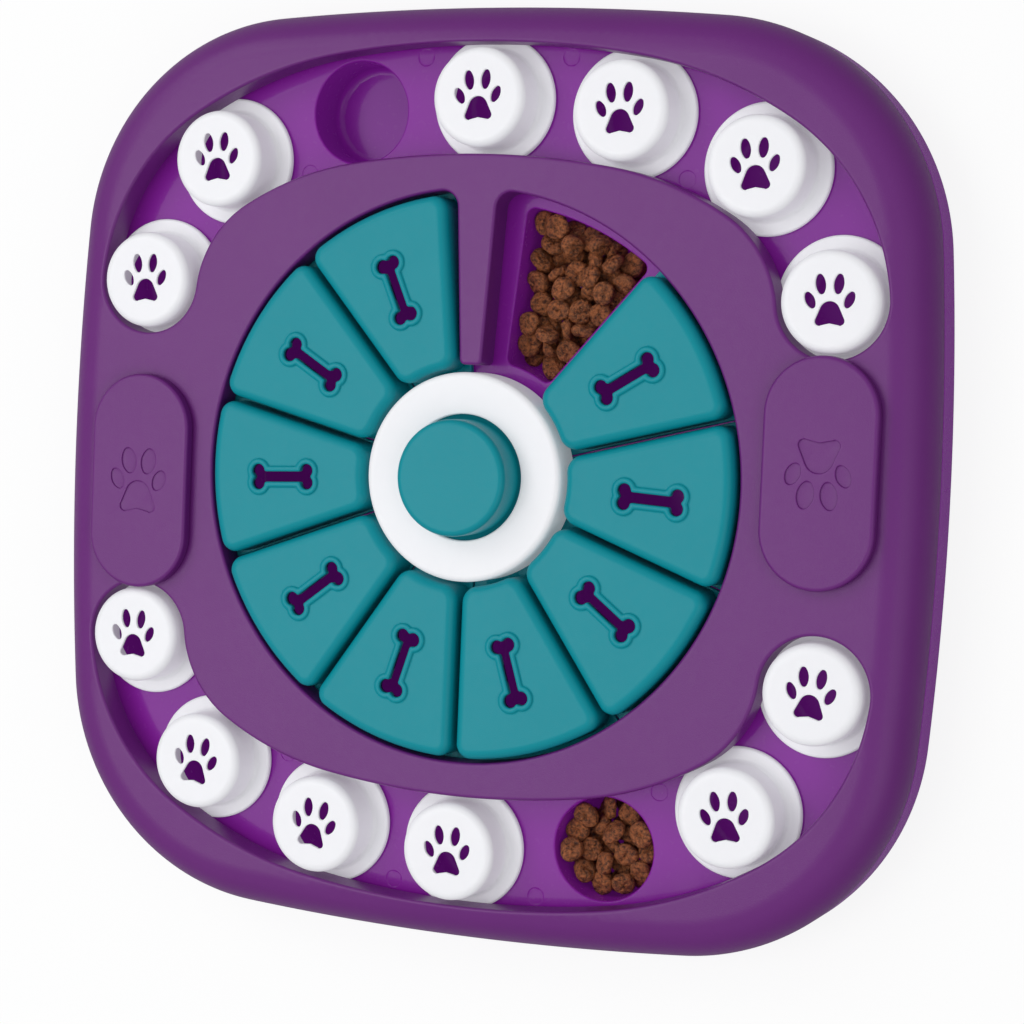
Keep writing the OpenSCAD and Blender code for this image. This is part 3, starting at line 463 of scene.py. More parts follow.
# %% Collect points and faces
class Skin:
    """Rings of points joined by strips, and flat or domed caps between rings."""

    def __init__(self):
        self.points, self.faces, self.count = [], [], 0

    def add(self, xy, z):
        z = np.broadcast_to(np.asarray(z, float), len(xy))
        self.points.append(np.column_stack([xy, z]))
        start = self.count
        self.count += len(xy)
        return start + np.arange(len(xy))

    def strip(self, lower, upper):
        """Four-sided faces between two closed rings of equal length."""
        a, b = lower, np.roll(lower, -1)
        c, d = np.roll(upper, -1), upper
        self.faces.append(np.stack([a, b, c, d], 1))

    def sweep(self, loop, profile, close=False):
        """Carries a profile along a closed loop. Each profile entry is (offset
        outwards, level), where the level may be one number or one per point.
        Returns the first and the last ring."""
        rings = [self.add(offset(loop, d), z) for d, z in profile]
        for lower, upper in zip(rings[:-1], rings[1:]):
            self.strip(lower, upper)
        if close:
            self.strip(rings[-1], rings[0])
        return rings[0], rings[-1]

    def sweep_all(self, loops, profile):
        """The same for several loops. Returns their first and their last rings."""
        return zip(*[self.sweep(loop, profile) for loop in loops])

    def cap(self, outer, holes, extra=None, height=None, up=True):
        """Triangles between an outer ring and the rings of its holes. Extra
        points shape a face that isn't flat."""
        everything = np.concatenate(self.points)
        rings = [outer] + list(holes)
        verts = np.concatenate([everything[r][:, :2] for r in rings])
        ids = np.concatenate(rings)
        edges, start = [], 0
        for r in rings:
            i = start + np.arange(len(r))
            edges.append(np.stack([i, np.roll(i, -1)], 1))
            start += len(r)
        if extra is not None and len(extra):
            ids = np.concatenate([ids, self.add(extra, height(extra))])
            verts = np.concatenate([verts, extra])
        made = delaunay_2d_cdt(
            [Vector(v) for v in verts],
            [tuple(int(i) for i in e) for e in np.concatenate(edges)],
            [], 0, 1e-6,
        )
        out = np.array([tuple(v) for v in made[0]])
        tris = np.array([f for f in made[2] if len(f) == 3])
        source = np.array([o[0] if o else -1 for o in made[3]])
        middle = out[tris].mean(1)
        keep = inside(middle, everything[outer][:, :2])
        for r in holes:
            keep &= ~inside(middle, everything[r][:, :2])
        keep &= (source[tris] >= 0).all(1)
        tris = ids[source[tris[keep]]]
        self.faces.append(tris if up else tris[:, ::-1])

    def mesh(self, name):
        """Puts the points, in metres, and the faces into a mesh."""
        points = np.concatenate(self.points) * MM
        faces = [tuple(int(i) for i in f) for part in self.faces for f in part]
        data = bpy.data.meshes.new(name)
        data.from_pydata([tuple(p) for p in points], [], faces)
        data.validate()
        data.update()
        return data


# %% [markdown]
# A finished skin becomes an object. Doubled points are merged, loose ones go,
# and the faces are turned outwards. Smooth shading with a weighted normal keeps
# flat faces flat right up to their rounded edges.


# %% Turn a skin into a piece
def link_mesh(name, data, material):
    """Puts a mesh with its finish into the scene, as an object at the origin."""
    data.materials.append(material)
    made = bpy.data.objects.new(name, data)
    bpy.context.scene.collection.objects.link(made)
    return made


def make_piece(name, skin, body, replaced, material):
    """Merges, orients and smooths a skin, then hands it to its body."""
    data = skin.mesh(name)
    work = bmesh.new()
    work.from_mesh(data)
    bmesh.ops.remove_doubles(work, verts=work.verts, dist=1e-6)
    loose = [v for v in work.verts if not v.link_faces]
    bmesh.ops.delete(work, geom=loose, context="VERTS")
    bmesh.ops.recalc_face_normals(work, faces=work.faces)
    open_edges = sum(1 for e in work.edges if len(e.link_faces) != 2)
    work.to_mesh(data)
    work.free()
    data.polygons.foreach_set("use_smooth", [True] * len(data.polygons))
    piece = link_mesh(name, data, material)
    shade = piece.modifiers.new("flat faces stay flat", "WEIGHTED_NORMAL")
    shade.keep_sharp = True
    shade.weight = 80
    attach(piece, body)
    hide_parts(*replaced)
    print(name, "faces", len(data.polygons), "open edges", open_edges)


def quarter_round(radius, level, steps=5, out=-1, up=-1, start=0.0):
    """Profile of a rounded edge, with offsets start + out * radius * (1 - cos a) and
    levels level + up * radius * (1 - sin a), for a from 90 to 0 degrees, so it
    begins flat and ends upright."""
    a = np.radians(np.linspace(90, 0, steps + 1))
    offsets = start + out * (radius * (1 - np.cos(a)))
    return list(zip(offsets, level + up * (radius * (1 - np.sin(a)))))


def scatter(low, high, step):
    """A grid of points whose rows are shifted by half a step, so the triangles
    between them are nearly equal."""
    xs = np.arange(low[0], high[0], step)
    ys = np.arange(low[1], high[1], step * 0.866)
    grid = np.stack(np.meshgrid(xs, ys), -1)
    grid[1::2, :, 0] += step / 2
    return grid.reshape(-1, 2)


# %% [markdown]
# ## Finishes
# The cover and the pads are moulded in a satin plastic with a very fine grain
# that breaks up reflections. The tray is the same kind of plastic with more
# gloss. The white and teal pieces are satin too. Each finish gets a slow change
# of tone, fine grain in the bump, and roughness that varies a little, because
# no moulded face is perfectly even.
# The white pieces and the trays also glow faintly: painted light that stands in for
# light bouncing between near walls.


# %% Helpers for finishes
def set_inputs(node, values):
    """Gives each named input its value, or a link where the value is a socket."""
    for name, value in values.items():
        if isinstance(value, bpy.types.NodeSocket):
            node.id_data.links.new(value, node.inputs[name])
        else:
            node.inputs[name].default_value = value
    return node


def add_node(tree, kind, values):
    """A new shader node with its inputs set or linked."""
    return set_inputs(tree.nodes.new("ShaderNode" + kind), values)


def new_finish(name):
    """A material, its node tree, its shader and its Object coordinates."""
    material = bpy.data.materials.new(name)
    material.use_nodes = True
    tree = material.node_tree
    place = add_node(tree, "TexCoord", {}).outputs["Object"]
    return material, tree, tree.nodes["Principled BSDF"], place


def add_noise(tree, place, scale, detail=2.0):
    """Noise whose larger lumps measure about 1 / scale metres."""
    values = {"Vector": place, "Scale": scale, "Detail": detail}
    return add_node(tree, "TexNoise", values).outputs["Fac"]


def add_bump(tree, height, strength, distance=0.0002):
    """Leans the surface as if it were raised by height times distance."""
    values = {"Height": height, "Strength": strength, "Distance": distance}
    return add_node(tree, "Bump", values).outputs["Normal"]


def mix_colours(tree, factor, first, second):
    """The first colour where the factor is 0, the second where it is 1."""
    mix = tree.nodes.new("ShaderNodeMix")
    mix.data_type = "RGBA"
    values = {"Factor": factor, "A": first, "B": second}
    return set_inputs(mix, values).outputs["Result"]


# %% Satin moulded plastic
def satin_plastic(name, colour, tone, rough, grain, gloss=0.5, depth=0.0, painted_glow=0.0):
    """Noise at 30 mm changes the tone, noise at 3 mm the roughness, and grain at
    0.4 mm the bump. White plastic also scatters light inside: depth lets it in.
    A faint glow, painted light, stands in for the many bounces of light between near
    walls."""
    material, tree, shader, place = new_finish(name)
    slow = add_noise(tree, place, 33.0, 3.0)
    spread = {
        "Value": add_noise(tree, place, 330.0, 3.0),
        "To Min": rough - 0.05,
        "To Max": rough + 0.05,
    }
    values = {
        "Base Color": mix_colours(tree, slow, (*colour, 1), (*tone, 1)),
        "Roughness": add_node(tree, "MapRange", spread).outputs["Result"],
        "Normal": add_bump(tree, add_noise(tree, place, 2500.0), grain),
        "Specular IOR Level": gloss,
        "Subsurface Weight": depth,
        "Subsurface Radius": (1.0, 0.95, 0.95),
        "Subsurface Scale": 0.005,
        "Emission Color": (*tone, 1),
        "Emission Strength": painted_glow,
    }
    set_inputs(shader, values)
    return material


COVER_FINISH = satin_plastic(
    "purple_satin", (0.125, 0.012, 0.164), (0.135, 0.014, 0.176), 0.38, 0.30, 0.33
)
PAD_FINISH = satin_plastic(
    "purple_pad_satin", (0.125, 0.012, 0.164), (0.133, 0.014, 0.174), 0.38, 0.30, 0.32
)
# The trays get a painted glow (0.19): painted light that brightens the shaded cups and
# wells, also where they show through the paws.
TRAY_FINISH = satin_plastic(
    "purple_gloss", (0.172, 0.009, 0.238), (0.186, 0.011, 0.254), 0.26, 0.08, 0.11,
    0.0, 0.19,
)
TEAL_FINISH = satin_plastic(
    "teal_satin", (0.001, 0.240, 0.292), (0.002, 0.260, 0.314), 0.35, 0.20, 0.18
)
# The white pieces get a painted glow (0.28): painted light that lightens the shade on
# the flanges and beside the knobs.
WHITE_FINISH = satin_plastic(
    "white_satin", (0.66, 0.66, 0.68), (0.68, 0.68, 0.70), 0.40, 0.10, 0.5, 0.3, 0.28
)
# A thin clear layer gives the trays their sharp line of light along the edges.
set_inputs(
    TRAY_FINISH.node_tree.nodes["Principled BSDF"],
    {"Coat Weight": 0.14, "Coat Roughness": 0.08},
)

# %% [markdown]
# ## The trays
# Below the cover lies a base with a skirt. It carries two curved trays with seven
# round cups each, and a round tray with ten pockets. Each of these trays hangs by
# a thin lip in a rebate. Every well has a rounded rim, a wall that narrows
# slightly so that the part leaves its mould, and a fillet at the floor.

# %% Trays: measures
CUP_RADIUS = 21.2
DRAFT = 0.4
WELL_WALL = 1.8
LIP_WIDTH, LIP_THICK, TRAY_GAP = 2.0, 1.1, 0.3
TRACK_TRAY_HALF = TRACK_HALF + 4.6
POCKET_TRAY = OPENING + 2.8
DECK_INSET = 9.0
PIN_RADIUS, PIN_REACH = 3.6, 19.0
POCKET_INNER, POCKET_OUTER, POCKET_MARGIN, POCKET_CORNER = 47.4, 111.4, 4.3, 3.4
cup = circle(CUP_RADIUS, 1.6)
pocket = slice_loop(
    POCKET_INNER, POCKET_OUTER, POCKET_MARGIN, POCKET_CORNER, POCKET_CORNER, 1.5
)

# %% Base: skirt and deck with three openings
base = Skin()
deck_edge, under_edge = base.sweep(
    board_loop(),
    [
        (-DECK_INSET, DECK_TOP),
        (-2.7 - 0.3, DECK_TOP),
        (-2.7, DECK_TOP - 0.3),
        (-2.7, SEAM - 0.2),
        (-0.25, SEAM - 0.2),
        (0, SEAM - 0.45),
        (0, FLOOR_LEVEL + 2.0),
        (-0.15, FLOOR_LEVEL + 1.2),
        (-0.6, FLOOR_LEVEL + 0.55),
        (-1.2, FLOOR_LEVEL + 0.15),
        (-2.0, FLOOR_LEVEL),
        (-2.4, FLOOR_LEVEL),
        (-2.4, 17.4),
        (-5.1, 17.4),
        (-5.1, DECK_BOTTOM),
        (-DECK_INSET, DECK_BOTTOM),
    ],
)
rebate = DECK_TOP - LIP_THICK
room = track_loop(TRACK_TRAY_HALF + TRAY_GAP)
tops, unders = base.sweep_all(
    [room, -room, circle(POCKET_TRAY + TRAY_GAP, 2.0)],
    [(LIP_WIDTH, DECK_TOP), (LIP_WIDTH, rebate), (0, rebate), (0, DECK_BOTTOM)],
)
base.cap(deck_edge, tops)
base.cap(under_edge, unders, up=False)


# %% A tray with wells
def add_well(skin, loop, lip, fillet):
    """Rim, wall and floor of a well inside, and its outer wall below."""
    top = quarter_round(lip, DECK_TOP, out=1)
    bottom = quarter_round(fillet, WELL_BOTTOM, up=1, start=-DRAFT)
    first, last = skin.sweep(loop, top + bottom[::-1])
    skin.cap(last, [])
    low, high = skin.sweep(
        loop,
        [
            (WELL_WALL - DRAFT - 1.0, FLOOR_LEVEL),
            (WELL_WALL - DRAFT - 0.3, FLOOR_LEVEL + 0.3),
            (WELL_WALL - DRAFT, FLOOR_LEVEL + 1.0),
            (WELL_WALL, DECK_BOTTOM),
        ],
    )
    skin.cap(low, [], up=False)
    return first, high


def tray_skin(edge, wells, lip, fillet, marks=()):
    """Deck with a thin lip round its edge, the wells and the faint round marks."""
    skin = Skin()
    first, last = skin.sweep(
        edge,
        [
            (LIP_WIDTH - 0.2, DECK_TOP),
            (LIP_WIDTH, DECK_TOP - 0.2),
            (LIP_WIDTH, DECK_TOP - LIP_THICK),
            (0, DECK_TOP - LIP_THICK),
            (0, DECK_BOTTOM),
        ],
    )
    tops, unders = [], []
    for loop in wells:
        rim, foot = add_well(skin, loop, lip, fillet)
        tops.append(rim)
        unders.append(foot)
    for at in marks:
        ring = at + circle(PIN_RADIUS, 0.8)
        rim, floor_ring = skin.sweep(
            ring, [(0.15, DECK_TOP), (0, DECK_TOP - 0.05), (-0.2, DECK_TOP - 0.2)]
        )
        skin.cap(floor_ring, [])
        tops.append(rim)
    skin.cap(first, tops)
    skin.cap(last, unders, up=False)
    return skin


pins = [
    (pivot + (radius + way * PIN_REACH) * heading(turn)) * [side, 1]
    for side in (1, -1)
    for pivot, radius, turn, way in (
        (MIDDLE_PIVOT, MIDDLE_RADIUS, TURN_3 / 2, 1),
        (BEND_PIVOT, BEND_RADIUS, (TURN_3 + TURN_2) / 2, -1),
    )
]
for side, sign in (("back", 1), ("front", -1)):
    made = tray_skin(
        sign * track_loop(TRACK_TRAY_HALF),
        [cup + sign * stop for stop in STOPS],
        0.8,
        3.0,
        [sign * at for at in pins],
    )
    make_piece(
        f"{side}_well_tray_moulding", made, "base",
        [f"{side}_well_tray_{part}" for part in range(1, 6)],
        TRAY_FINISH,
    )
pockets = [turned(pocket, OPEN_SLOT - i * PITCH) for i in range(10)]
made = tray_skin(circle(POCKET_TRAY, 2.0), pockets, 0.7, 1.6)
make_piece(
    "pocket_tray_moulding", made, "base",
    [f"pocket_tray_{part}" for part in range(1, 6)],
    TRAY_FINISH,
)

# %% [markdown]
# Below the deck of the base stand hollow posts. Screws sit in them and rubber
# feet plug their open ends.

# %% Base: posts for the feet
FOOT_PLACES = [(152, 140), (-152, 140), (152, -140), (-152, -140), (165, 0), (-165, 0)]
POST_MIDDLE = 7.5
for place in FOOT_PLACES:
    base.sweep(
        circle(POST_MIDDLE, 1.2, place),
        [
            (1.0, DECK_BOTTOM + 0.5),
            (1.0, FLOOR_LEVEL + 0.4),
            (0.6, FLOOR_LEVEL),
            (-0.7, FLOOR_LEVEL),
            (-1.0, FLOOR_LEVEL + 0.3),
            (-1.0, DECK_BOTTOM + 0.5),
        ],
        close=True,
    )
make_piece("tray_moulding", base, "base", ["tray"], TRAY_FINISH)

# %% [markdown]
# ## The cover
# The cover is a lid with a soft, generous rim. The track openings cut into the
# slope of that rim at the middle of the board, so the height of the top face is
# a function of the distance from the outline: a quarter circle of 17.5 mm, then
# flat. Every opening has a small rounded lip and a wall that hangs down to just
# above the slider flanges.


# %% Cover: height of its two faces
RIM_ROUND, UNDER_ROUND = 17.5, 15.1


def cover_height(points, radius=RIM_ROUND, top=COVER_TOP):
    """Quarter circle of the rim, then flat: level + sqrt(r^2 - (r - inset)^2)."""
    reach = np.clip(RIM_ROUND - board_inset(points), 0, radius)
    return RIM_LEVEL + np.sqrt(radius**2 - reach**2) + (top - RIM_LEVEL - radius)


# %% Cover: build its skin
cover = Skin()
LIP = 1.3
WALL = 2.0
CAP_INSET = 11.0
rim = board_loop()


def rim_arc(radius, start, end, count):
    """Offsets and levels on a circle about the middle of the rim's rounding."""
    return [
        (-(RIM_ROUND - radius * math.cos(a)), RIM_LEVEL + radius * math.sin(a))
        for a in np.linspace(start, end, count)
    ]


outer_end = math.acos((RIM_ROUND - CAP_INSET) / RIM_ROUND)
under_end = math.acos((RIM_ROUND - CAP_INSET) / UNDER_ROUND)
top_edge, under_edge = cover.sweep(
    rim,
    rim_arc(RIM_ROUND, outer_end, 0, 16)
    + [(0, SEAM + 0.5), (-0.3, SEAM + 0.2), (-2.1, SEAM + 0.2), (-2.4, SEAM + 0.5)]
    + rim_arc(UNDER_ROUND, 0, under_end, 9),
)


def add_opening(skin, loop):
    """Lip on the top face, wall down, its lower edge, and up to the underside."""
    rings = [(LIP + 0.5, 0.0)] + quarter_round(LIP, 0.0, 6, out=1)
    rings = [(d, cover_height(offset(loop, d)) + z) for d, z in rings]
    rings += [(0.0, HANGING_BOTTOM + 0.3), (0.3, HANGING_BOTTOM)]
    rings += [(WALL, HANGING_BOTTOM)]
    under = cover_height(offset(loop, WALL), UNDER_ROUND, COVER_BOTTOM)
    return skin.sweep(loop, rings + [(WALL, under)])


def rectangle(half_width, half_length):
    """Closed outline, anticlockwise from the lower right corner."""
    x, y = half_width, half_length
    corners = [(x, -y), (x, y), (-x, y), (-x, -y)]
    sides = zip(corners, corners[1:] + corners[:1])
    return np.concatenate([line(a, b, 2.0) for a, b in sides])


track = track_loop()
openings = [track, -track, opening_loop()]
firsts, lasts = [], []
for loop in openings:
    first, last = add_opening(cover, loop)
    firsts.append(first)
    lasts.append(last)
PAD_X = 148.7
SLOT_HALF = (4.4, 25.13)
for x in (-PAD_X, PAD_X):
    slot = rectangle(*SLOT_HALF) + [x, 0]
    ring_top = cover.add(slot, COVER_TOP)
    ring_low = cover.add(slot, COVER_BOTTOM)
    cover.strip(ring_top, ring_low)
    firsts.append(ring_top)
    lasts.append(ring_low)

# Points inside the top face: a field of triangles on its flat part, and rows
# that follow the outline where it is still curved.
SLOPE_INSETS = (12.5, 14.0, 15.5, 16.6, 17.4, 18.2)
FLAT_INSET = 19.5
field = scatter((-185, -185), (185, 185), 9.0)
slope = np.concatenate([offset(rim, -d)[::2] for d in SLOPE_INSETS])
field = np.concatenate([field[board_inset(field) > FLAT_INSET], slope])
for loop in openings:
    field = field[~inside(field, offset(loop, LIP + 1.5))]
for x in (-PAD_X, PAD_X):
    field = field[(np.abs(field[:, 0] - x) > 5.5) | (np.abs(field[:, 1]) > 27.0)]
cover.cap(top_edge, firsts, field, cover_height)
cover.cap(under_edge, lasts, up=False)
make_piece("cover_moulding", cover, "base", ["cover"], COVER_FINISH)

# %% [markdown]
# ## The knobs
# A knob is a round cap with a broad flange. The paw is cut right through its
# top, so the dark well shows. Its rim and the edge of the flange are rounded,
# and it is hollow from below. The top is 1.2 mm thick here, thinner than in the
# construction model, so that the walls of the paw hide less of the well.

# %% Knobs
KNOB_RADIUS, KNOB_EDGE, FOOT_FILLET = 20.0, 3.4, 1.8
FLANGE_REACH, KNOB_WALL, TOP_PLATE = 6.3, 2.0, 1.2
# How far each paw is turned, in degrees.
BACK_TURNS = [2, 4, 3, 3, 4, 2]
FRONT_TURNS = [-4.5, 6, 0.5, -8, -6.5, 0]


def knob_skin(centre, turn):
    """Profile: rounded top edge, side, flange with a rounded edge, then up inside."""
    skin = Skin()
    side = centre + circle(KNOB_RADIUS, 1.0)
    profile = [(-4.6, KNOB_TOP), (-3.9, KNOB_TOP)]
    profile += quarter_round(KNOB_EDGE, KNOB_TOP, 10)
    profile += quarter_round(FOOT_FILLET, FLANGE_TOP, 6, out=1, up=1)[::-1]
    profile += [(5.3, FLANGE_TOP), (6.0, FLANGE_TOP - 0.3)]
    profile += [(FLANGE_REACH, FLANGE_TOP - 1.0), (FLANGE_REACH, SLIDER_BOTTOM + 0.4)]
    profile += [(5.9, SLIDER_BOTTOM), (-KNOB_WALL, SLIDER_BOTTOM)]
    profile += [(-KNOB_WALL, KNOB_TOP - 2.9), (-2.5, KNOB_TOP - 1.8)]
    profile += [(-3.6, KNOB_TOP - TOP_PLATE)]
    first, last = skin.sweep(side, profile)
    lip = quarter_round(0.35, KNOB_TOP, 3, out=1)
    cut = [(0.6, KNOB_TOP)] + lip + [(0.0, KNOB_TOP - TOP_PLATE)]
    paw = [offset(loop, 0.2) + centre for loop in paw_loops(KNOB_TOES, 1.0, turn)]
    tops, unders = skin.sweep_all(paw, cut)
    skin.cap(first, tops)
    skin.cap(last, unders, up=False)
    return skin


for side, sign, turns in (("back", 1, BACK_TURNS), ("front", -1, FRONT_TURNS)):
    for i, (stop, turn) in enumerate(zip(KNOB_STOPS, turns), 1):
        name = f"{side}_slider_{i}"
        make_piece(
            name + "_knob", knob_skin(sign * stop, turn), name, [name],
            WHITE_FINISH,
        )

# %% [markdown]
# ## The wedges
# Each wedge is a hollow block on a thin flange. Its top edge is rounded, its
# corners are round in plan, and a raised bead frames the bone that is cut
# through its top. The flanges of neighbours nearly touch.

# %% Wedges
WEDGE_INNER, WEDGE_OUTER = 44.4, 114.4
FLANGE_INNER, FLANGE_OUTER = 38.2, 121.0
WEDGE_WALL, WEDGE_EDGE = 2.0, 4.0
BONE_CENTRE = (WEDGE_OUTER + WEDGE_INNER) / 2 + 1.6
# The bead round the bone: distance from the cut, and height above the top.
BEAD = [(2.9, 0.0), (2.3, 0.0), (2.22, 0.35), (2.05, 0.68), (1.7, 0.91), (1.2, 1.0)]
BEAD += [(0.7, 0.97), (0.3, 0.8), (0.07, 0.5), (0.0, 0.1), (0.0, -2.0)]


def wedge_skin(angle):
    """The block with its bone, and the flange as a flat ring round its foot."""
    skin = Skin()
    block = slice_loop(WEDGE_INNER, WEDGE_OUTER, 1.2, 7.0, 6.0)
    profile = [(-4.9, WEDGE_TOP), (-4.4, WEDGE_TOP)]
    profile += quarter_round(WEDGE_EDGE, WEDGE_TOP, 12)
    profile += [(0.0, SLIDER_BOTTOM), (-WEDGE_WALL, SLIDER_BOTTOM)]
    profile += [(-WEDGE_WALL, WEDGE_TOP - 4.0), (-2.5, WEDGE_TOP - 2.7)]
    profile += [(-3.8, WEDGE_TOP - 2.0)]
    first, last = skin.sweep(turned(block, angle), profile)
    rings = []
    for grow, level in BEAD:
        ring = turned(bone_loop(grow) + [BONE_CENTRE, 0], angle)
        rings.append(skin.add(ring, WEDGE_TOP + level))
    for low, high in zip(rings[:-1], rings[1:]):
        skin.strip(low, high)
    skin.cap(first, [rings[0]])
    skin.cap(last, [rings[-1]], up=False)
    edge = turned(slice_loop(FLANGE_INNER, FLANGE_OUTER, 0.3, 1.5, 1.5), angle)
    inner = turned(slice_loop(46.0, 112.8, 2.8, 5.4, 4.4), angle)
    top_ring, low_ring = skin.sweep(
        edge,
        [(-0.5, FLANGE_TOP), (-0.15, FLANGE_TOP - 0.15), (0, FLANGE_TOP - 0.5),
         (0, SLIDER_BOTTOM + 0.3), (-0.3, SLIDER_BOTTOM)],
    )
    in_top, in_low = skin.add(inner, FLANGE_TOP), skin.add(inner, SLIDER_BOTTOM)
    skin.strip(in_top, in_low)
    skin.cap(top_ring, [in_top])
    skin.cap(low_ring, [in_low], up=False)
    return skin


for i in range(1, 10):
    name = f"bone_wedge_{i}"
    make_piece(
        name + "_cover", wedge_skin(OPEN_SLOT - i * PITCH), name, [name],
        TEAL_FINISH,
    )

# %% [markdown]
# ## Ring and button
# Both are turned shapes, so one profile carried round a circle gives each. The
# ring has a broad flat top, and the button stands well above it.

# %% Ring
RING_RADIUS, RING_HOLE, RING_EDGE = 42.4, 25.6, 2.4
RING_UNDER, HUB_BOTTOM = 42.2, 31.2
profile = [(RING_HOLE + 0.6, RING_TOP), (30.0, RING_TOP), (39.2, RING_TOP)]
profile += quarter_round(RING_EDGE, RING_TOP, 8, start=RING_RADIUS)
profile += [(RING_RADIUS, HANGING_BOTTOM + 0.3), (42.1, HANGING_BOTTOM)]
profile += [(40.1, HANGING_BOTTOM), (40.1, RING_UNDER), (29.9, RING_UNDER)]
profile += [(29.9, HUB_BOTTOM), (27.9, HUB_BOTTOM), (27.9, RING_UNDER)]
profile += [(RING_HOLE, RING_UNDER), (RING_HOLE, RING_TOP - 0.6)]
profile += [(25.78, RING_TOP - 0.18)]
skin = Skin()
profile = [(r - RING_RADIUS, z) for r, z in profile]
skin.sweep(circle(RING_RADIUS, 1.0), profile, close=True)
make_piece(
    "center_ring_cap", skin, "base", ["center_ring"], WHITE_FINISH
)

# %% Button
BUTTON_RADIUS, BUTTON_EDGE, BUTTON_WALL = 23.5, 2.6, 2.0
FLANGE_LEVELS = (41.9, 39.4)
skin = Skin()
profile = [(-6.0, BUTTON_TOP), (-3.4, BUTTON_TOP)]
profile += quarter_round(BUTTON_EDGE, BUTTON_TOP, 9)
profile += [(0, FLANGE_LEVELS[0]), (4.1, FLANGE_LEVELS[0]), (4.1, FLANGE_LEVELS[1])]
profile += [(-BUTTON_WALL, FLANGE_LEVELS[1]), (-BUTTON_WALL, 54.9), (-2.4, 55.3)]
first, last = skin.sweep(circle(BUTTON_RADIUS, 0.8), profile)
skin.cap(first, [])
skin.cap(last, [], up=False)
make_piece("button_cap", skin, "button", ["button"], TEAL_FINISH)

# %% [markdown]
# ## The side pads
# Each pad is a long oval that stands a little proud of the cover. The paw is
# sunk into its top by 0.7 mm. It is upright on one pad and upside down on the
# other.

# %% Pads
PAD_WIDTH, PAD_LENGTH, PAD_EDGE = 46.0, 90.5, 1.5
PAD_OFFSET = 9.7356
PAW_SCALE = 1.46
STEM_HALF, STEM_BOTTOM = (4, 15), 38.2
# The wall of the sunk paw: offset and depth.
SUNK = [(0.5, 0.0), (0.2, 0.0), (0.06, 0.06), (0.0, 0.2), (0.0, 0.5), (-0.2, 0.7)]


def stadium(width, length, step=1.2):
    """Two half circles joined by straight sides."""
    r, half = width / 2, (length - width) / 2
    return np.concatenate(
        [
            arc((0, half), r, 0, 180, step),
            line((-r, half), (-r, -half), step),
            arc((0, -half), r, 180, 360, step),
            line((r, -half), (r, half), step),
        ]
    )


def pad_skin(centre, turn):
    """Rounded oval slab with the paw sunk 0.7 mm into its top."""
    skin = Skin()
    edge = stadium(PAD_WIDTH, PAD_LENGTH) + centre
    profile = [(-2.6, PAD_TOP), (-1.9, PAD_TOP)]
    profile += quarter_round(PAD_EDGE, PAD_TOP, 6)
    profile += [(0.0, PAD_BOTTOM + 0.3), (-0.3, PAD_BOTTOM), (-2.6, PAD_BOTTOM)]
    first, last = skin.sweep(edge, profile)
    rims = []
    for loop in paw_loops(PAD_TOES, PAW_SCALE, turn, 0.6):
        a, b = skin.sweep(loop + centre, [(out, PAD_TOP - deep) for out, deep in SUNK])
        rims.append(a)
        skin.cap(b, [])
    skin.cap(first, rims)
    skin.cap(last, [], up=False)
    stem = rectangle(*STEM_HALF) + centre
    high, low = skin.add(stem, PAD_BOTTOM + 0.5), skin.add(stem, STEM_BOTTOM)
    skin.strip(high, low)
    skin.cap(high, [])
    skin.cap(low, [], up=False)
    return skin


for side, sign, turn in (("left", -1, 0), ("right", 1, 180)):
    name = f"pad_{side}"
    centre = np.array([sign * PAD_X, sign * PAD_OFFSET])
    oval = pad_skin(centre, turn)
    make_piece(name + "_oval", oval, name, [name], PAD_FINISH)

# %% [markdown]
# ## Hidden and small parts
# The squeaker, the feet, the screws and the keeper plates keep their
# construction shape and get their own finishes.


# %% Rubber, vinyl and steel
def plain_finish(name, colour, rough, metal=0.0):
    """A finish with fine noise in tone and bump for small parts."""
    material, tree, shader, place = new_finish(name)
    fine = add_noise(tree, place, 900.0)
    darker = [0.8 * c for c in colour]
    values = {
        "Base Color": mix_colours(tree, fine, (*colour, 1), (*darker, 1)),
        "Normal": add_bump(tree, fine, 0.3),
        "Roughness": rough,
        "Metallic": metal,
    }
    set_inputs(shader, values)
    return material


RUBBER = plain_finish("dark_rubber", (0.03, 0.03, 0.034), 0.8)
VINYL = plain_finish("soft_vinyl", (0.62, 0.61, 0.57), 0.55)
STEEL = plain_finish("zinc_steel", (0.56, 0.56, 0.57), 0.35, 1.0)
for name, node in nodes.items():
    if node.hide_render:
        continue
    if name == "feet":
        finish = RUBBER
    elif name == "squeaker":
        finish = VINYL
    elif "screws" in name:
        finish = STEEL
    else:
        finish = COVER_FINISH
    node.data.materials.clear()
    node.data.materials.append(finish)

# %% [markdown]
# ## Food in the open wells
# The toy is shown in use, with dry food in the open pocket and in the open cup
# of the front track. The food isn't part of the toy, so it is staged. Each bit
# is a thick round biscuit with a soft edge and often a dimple.


# %% Baked finish of the food
BAKED, tree, shader, place = new_finish("baked_brown")
GOLD = (0.62, 0.34, 0.13, 1)
values = {"Vector": place, "Scale": 700.0, "Detail": 6.0, "Roughness": 0.7}
crumbs = add_node(tree, "TexNoise", values).outputs["Fac"]
ramp = add_node(tree, "ValToRGB", {"Fac": crumbs})
tones = ramp.color_ramp.elements
tones[0].position, tones[0].color = 0.38, (0.05, 0.012, 0.004, 1)
tones[1].position, tones[1].color = 0.60, (0.46, 0.142, 0.045, 1)
specks = add_noise(tree, place, 2600.0)
values = {"Value": specks, "From Min": 0.66, "From Max": 0.74}
specks = add_node(tree, "MapRange", values).outputs["Result"]
values = {
    "Base Color": mix_colours(tree, specks, ramp.outputs["Color"], GOLD),
    "Normal": add_bump(tree, crumbs, 1.0, 0.0014),
    "Roughness": 0.45,
    "Specular IOR Level": 0.5,
}
set_inputs(shader, values)


